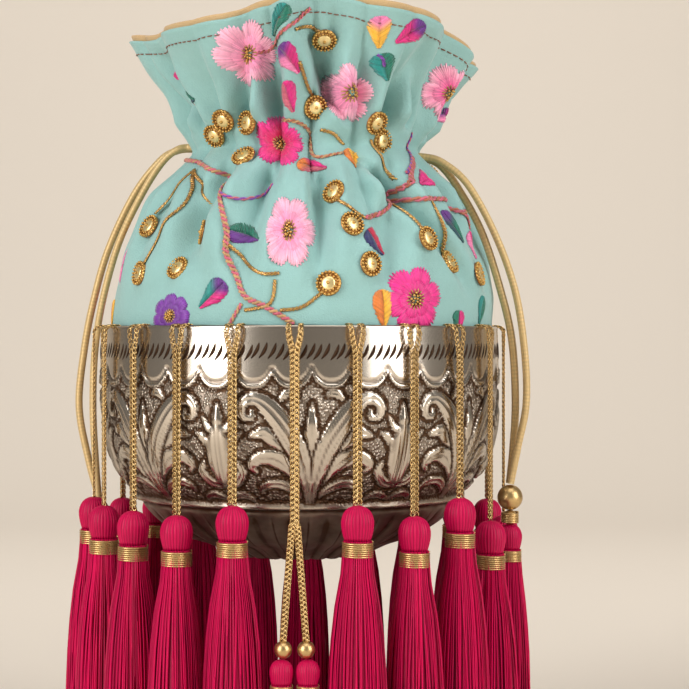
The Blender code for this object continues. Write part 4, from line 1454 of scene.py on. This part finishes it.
# %% Centre drop
SPLIT_MM = 15.4
CENTRE_BEAD_MM = 2.65
CENTRE_BEAD_HEIGHT_MM = -21.2
MINI_TOP_MM = CENTRE_BEAD_HEIGHT_MM - CENTRE_BEAD_MM - 0.3
MINI_SKIRT_MM = ((3.9, -10.2), (3.7, -12.5), (3.9, -15.0), (4.7, -22.0), (5.4, -34.0), (5.7, -60.0))
MINI_SCALE = 0.72
BEAD_HOLE_ANGLE = 0.2
small_points, small_faces = link(0.82, 0.5, 0.21, 8, 3)


def satin_bead(name, body, centre_mm, radius_mm, node):
    points, faces = ball(40, 24)
    verts = points * radius_mm
    turned = verts.copy()
    flat_end = radius_mm * math.cos(BEAD_HOLE_ANGLE)
    turned[:, 2] = np.clip(turned[:, 2], -flat_end, flat_end)
    bead = mesh_object(name, (turned + centre_mm) * MM, faces, bead_gold, tint=gold_tint(len(verts)))
    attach(bead, body)
    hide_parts(node)
    return bead


bead_gold = tint_finish("satin_gold", 0.36, metallic=1.0, scale=300.0, depth=0.1)


def make_centre_drop():
    verts, faces = strand(HINGE_MM - 0.6, SPLIT_MM - 0.2, 0.0)
    piece = mesh_object("link_chain_centre", verts * MM, faces, polished_gold, tint=gold_tint(len(verts)))
    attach(piece, "centre_drop")
    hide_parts("centre_chain")
    for side, label in ((-1.0, "left"), (1.0, "right")):
        start = np.array([side * 0.8, -HANG_RADIUS_MM, SPLIT_MM])
        end = np.array([side * 3.4, -HANG_RADIUS_MM, CENTRE_BEAD_HEIGHT_MM + CENTRE_BEAD_MM - 0.2])
        count = int(np.linalg.norm(end - start) / 0.68)
        line = start + (end - start) * np.linspace(0.0, 1.0, count)[:, None]
        outward = np.broadcast_to([0.0, -1.0, 0.0], line.shape)
        sideways = np.broadcast_to([1.0, 0.0, 0.0], line.shape)
        frames = chain_frames(line, outward, sideways, np.full(count, -0.22))
        verts, faces = copies(small_points, small_faces, frames)
        piece = mesh_object("strand_" + label, verts * MM, faces, polished_gold, tint=gold_tint(len(verts)))
        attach(piece, "centre_drop")
        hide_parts("centre_strand_" + label)
        satin_bead("drop_bead_" + label, "centre_drop", [side * 3.4, -HANG_RADIUS_MM, CENTRE_BEAD_HEIGHT_MM],
                   CENTRE_BEAD_MM, "centre_bead_" + label)
        silk, binding = tassel_blocks(MINI_SCALE, 60, 90 if side > 0 else 95, MINI_SKIRT_MM)
        hang("small_tassel_" + label, "centre_drop", [side * 3.9, -HANG_RADIUS_MM, MINI_TOP_MM],
             silk, binding, "mini_tassel_" + label)


make_centre_drop()

# %% [markdown]
# ## Draw cords with their beads
# The cord's surface is a tube whose radius swells where the strands of the braid pass over. The two
# strands of each loop meet in a satin bead, with a wound gold collar and a small silk tassel below it.

# %% Draw cords
BEAD_CENTRES_MM = {"right": (68.1, -14.0, 19.5), "left": (-67.6, 10.7, 12.0)}
BEAD_RADIUS_MM = 4.1
PULL_SKIRT_MM = ((3.9, -10.2), (3.6, -12.5), (3.8, -15.0), (5.2, -24.0), (6.6, -38.0), (7.6, -54.0),
                 (8.0, -73.0))
PULL_SCALE = 0.79
CORD_SIDES = 12
cord_braid = tint_finish("cord_braid", 0.42, metallic=0.2, sheen=0.2, scale=700.0, depth=0.3)


def braided_cord(name, route_mm):
    line = smooth_line(route_mm, 0.62)
    along = unit(np.gradient(line, axis=0))
    up = np.cross(along[0], [1.0, 0.0, 0.0])
    frames = []
    for direction in along:
        up = unit(up - direction * np.dot(up, direction))
        frames.append(up)
    ups = np.array(frames)
    sides = np.cross(ups, along)
    turn = np.arange(CORD_SIDES) * TAU / CORD_SIDES
    travel = np.arange(len(line))[:, None] * 0.62
    over = np.cos(3 * turn + travel * TAU / 2.6) * np.cos(3 * turn - travel * TAU / 2.6)
    radius = CORD_DIAMETER / MM / 2 * (0.97 + 0.05 * over)
    points = line[:, None] + radius[..., None] * (ups[:, None] * np.cos(turn)[:, None]
                                                  + sides[:, None] * np.sin(turn)[:, None])
    # Painted light and shade: the braid is lighter where a strand passes over and darker in the hollows
    # between strands.
    tone = 0.9 + 0.2 * over
    quads = grid_quads(len(line), CORD_SIDES)
    last = (len(line) - 1) * CORD_SIDES
    caps = [np.arange(CORD_SIDES)[None], last + np.arange(CORD_SIDES)[None, ::-1]]
    tint = tone.reshape(-1, 1) * np.asarray(linear(216, 184, 126))
    cord = mesh_object(name, points.reshape(-1, 3) * MM, [quads[:, ::-1]] + caps, cord_braid, tint=tint)
    return cord, line * MM


def make_draw_cords():
    for label in ("right", "left"):
        cord, line = braided_cord("braid_" + label, cord_routes[label] / MM)
        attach(cord, "bag")
        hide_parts("drawcord_" + label)
        centre = np.array(BEAD_CENTRES_MM[label])
        bead = satin_bead("pull_ball_" + label, "bag", centre, BEAD_RADIUS_MM, "pull_bead_" + label)
        collar_top = centre[2] - BEAD_RADIUS_MM - 0.3
        wire_turns = wound_wire(2.6, -0.4, -3.6, 6, 0.36)
        place = np.array([centre[0], centre[1], collar_top])
        collar = mesh_object("wound_collar_" + label, (wire_turns[0] + place) * MM, wire_turns[1],
                             gold_thread, tint=gold_tint(len(wire_turns[0])))
        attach(collar, "bag")
        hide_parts("pull_collar_" + label)
        plug_points, plug_faces = ball(16, 8)
        plug = mesh_object("collar_core_" + label,
                           (plug_points * [2.5, 2.5, 2.4] + place - [0, 0, 2.0]) * MM,
                           plug_faces, gold_thread, tint=gold_tint(len(plug_points)))
        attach(plug, "bag")
        top = place - [0.0, 0.0, 4.3]
        silk, binding = tassel_blocks(PULL_SCALE, 84, 120 if label == "right" else 130, PULL_SKIRT_MM)
        hang("pull_silk_" + label, "bag", top, silk, binding, "pull_tassel_" + label)


make_draw_cords()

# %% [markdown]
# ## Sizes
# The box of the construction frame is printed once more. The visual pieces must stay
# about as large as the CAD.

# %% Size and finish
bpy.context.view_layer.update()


def plain_box(box):
    return [[round(float(value), 5) for value in corner] for corner in box]


print("cad box", plain_box(cad_box))
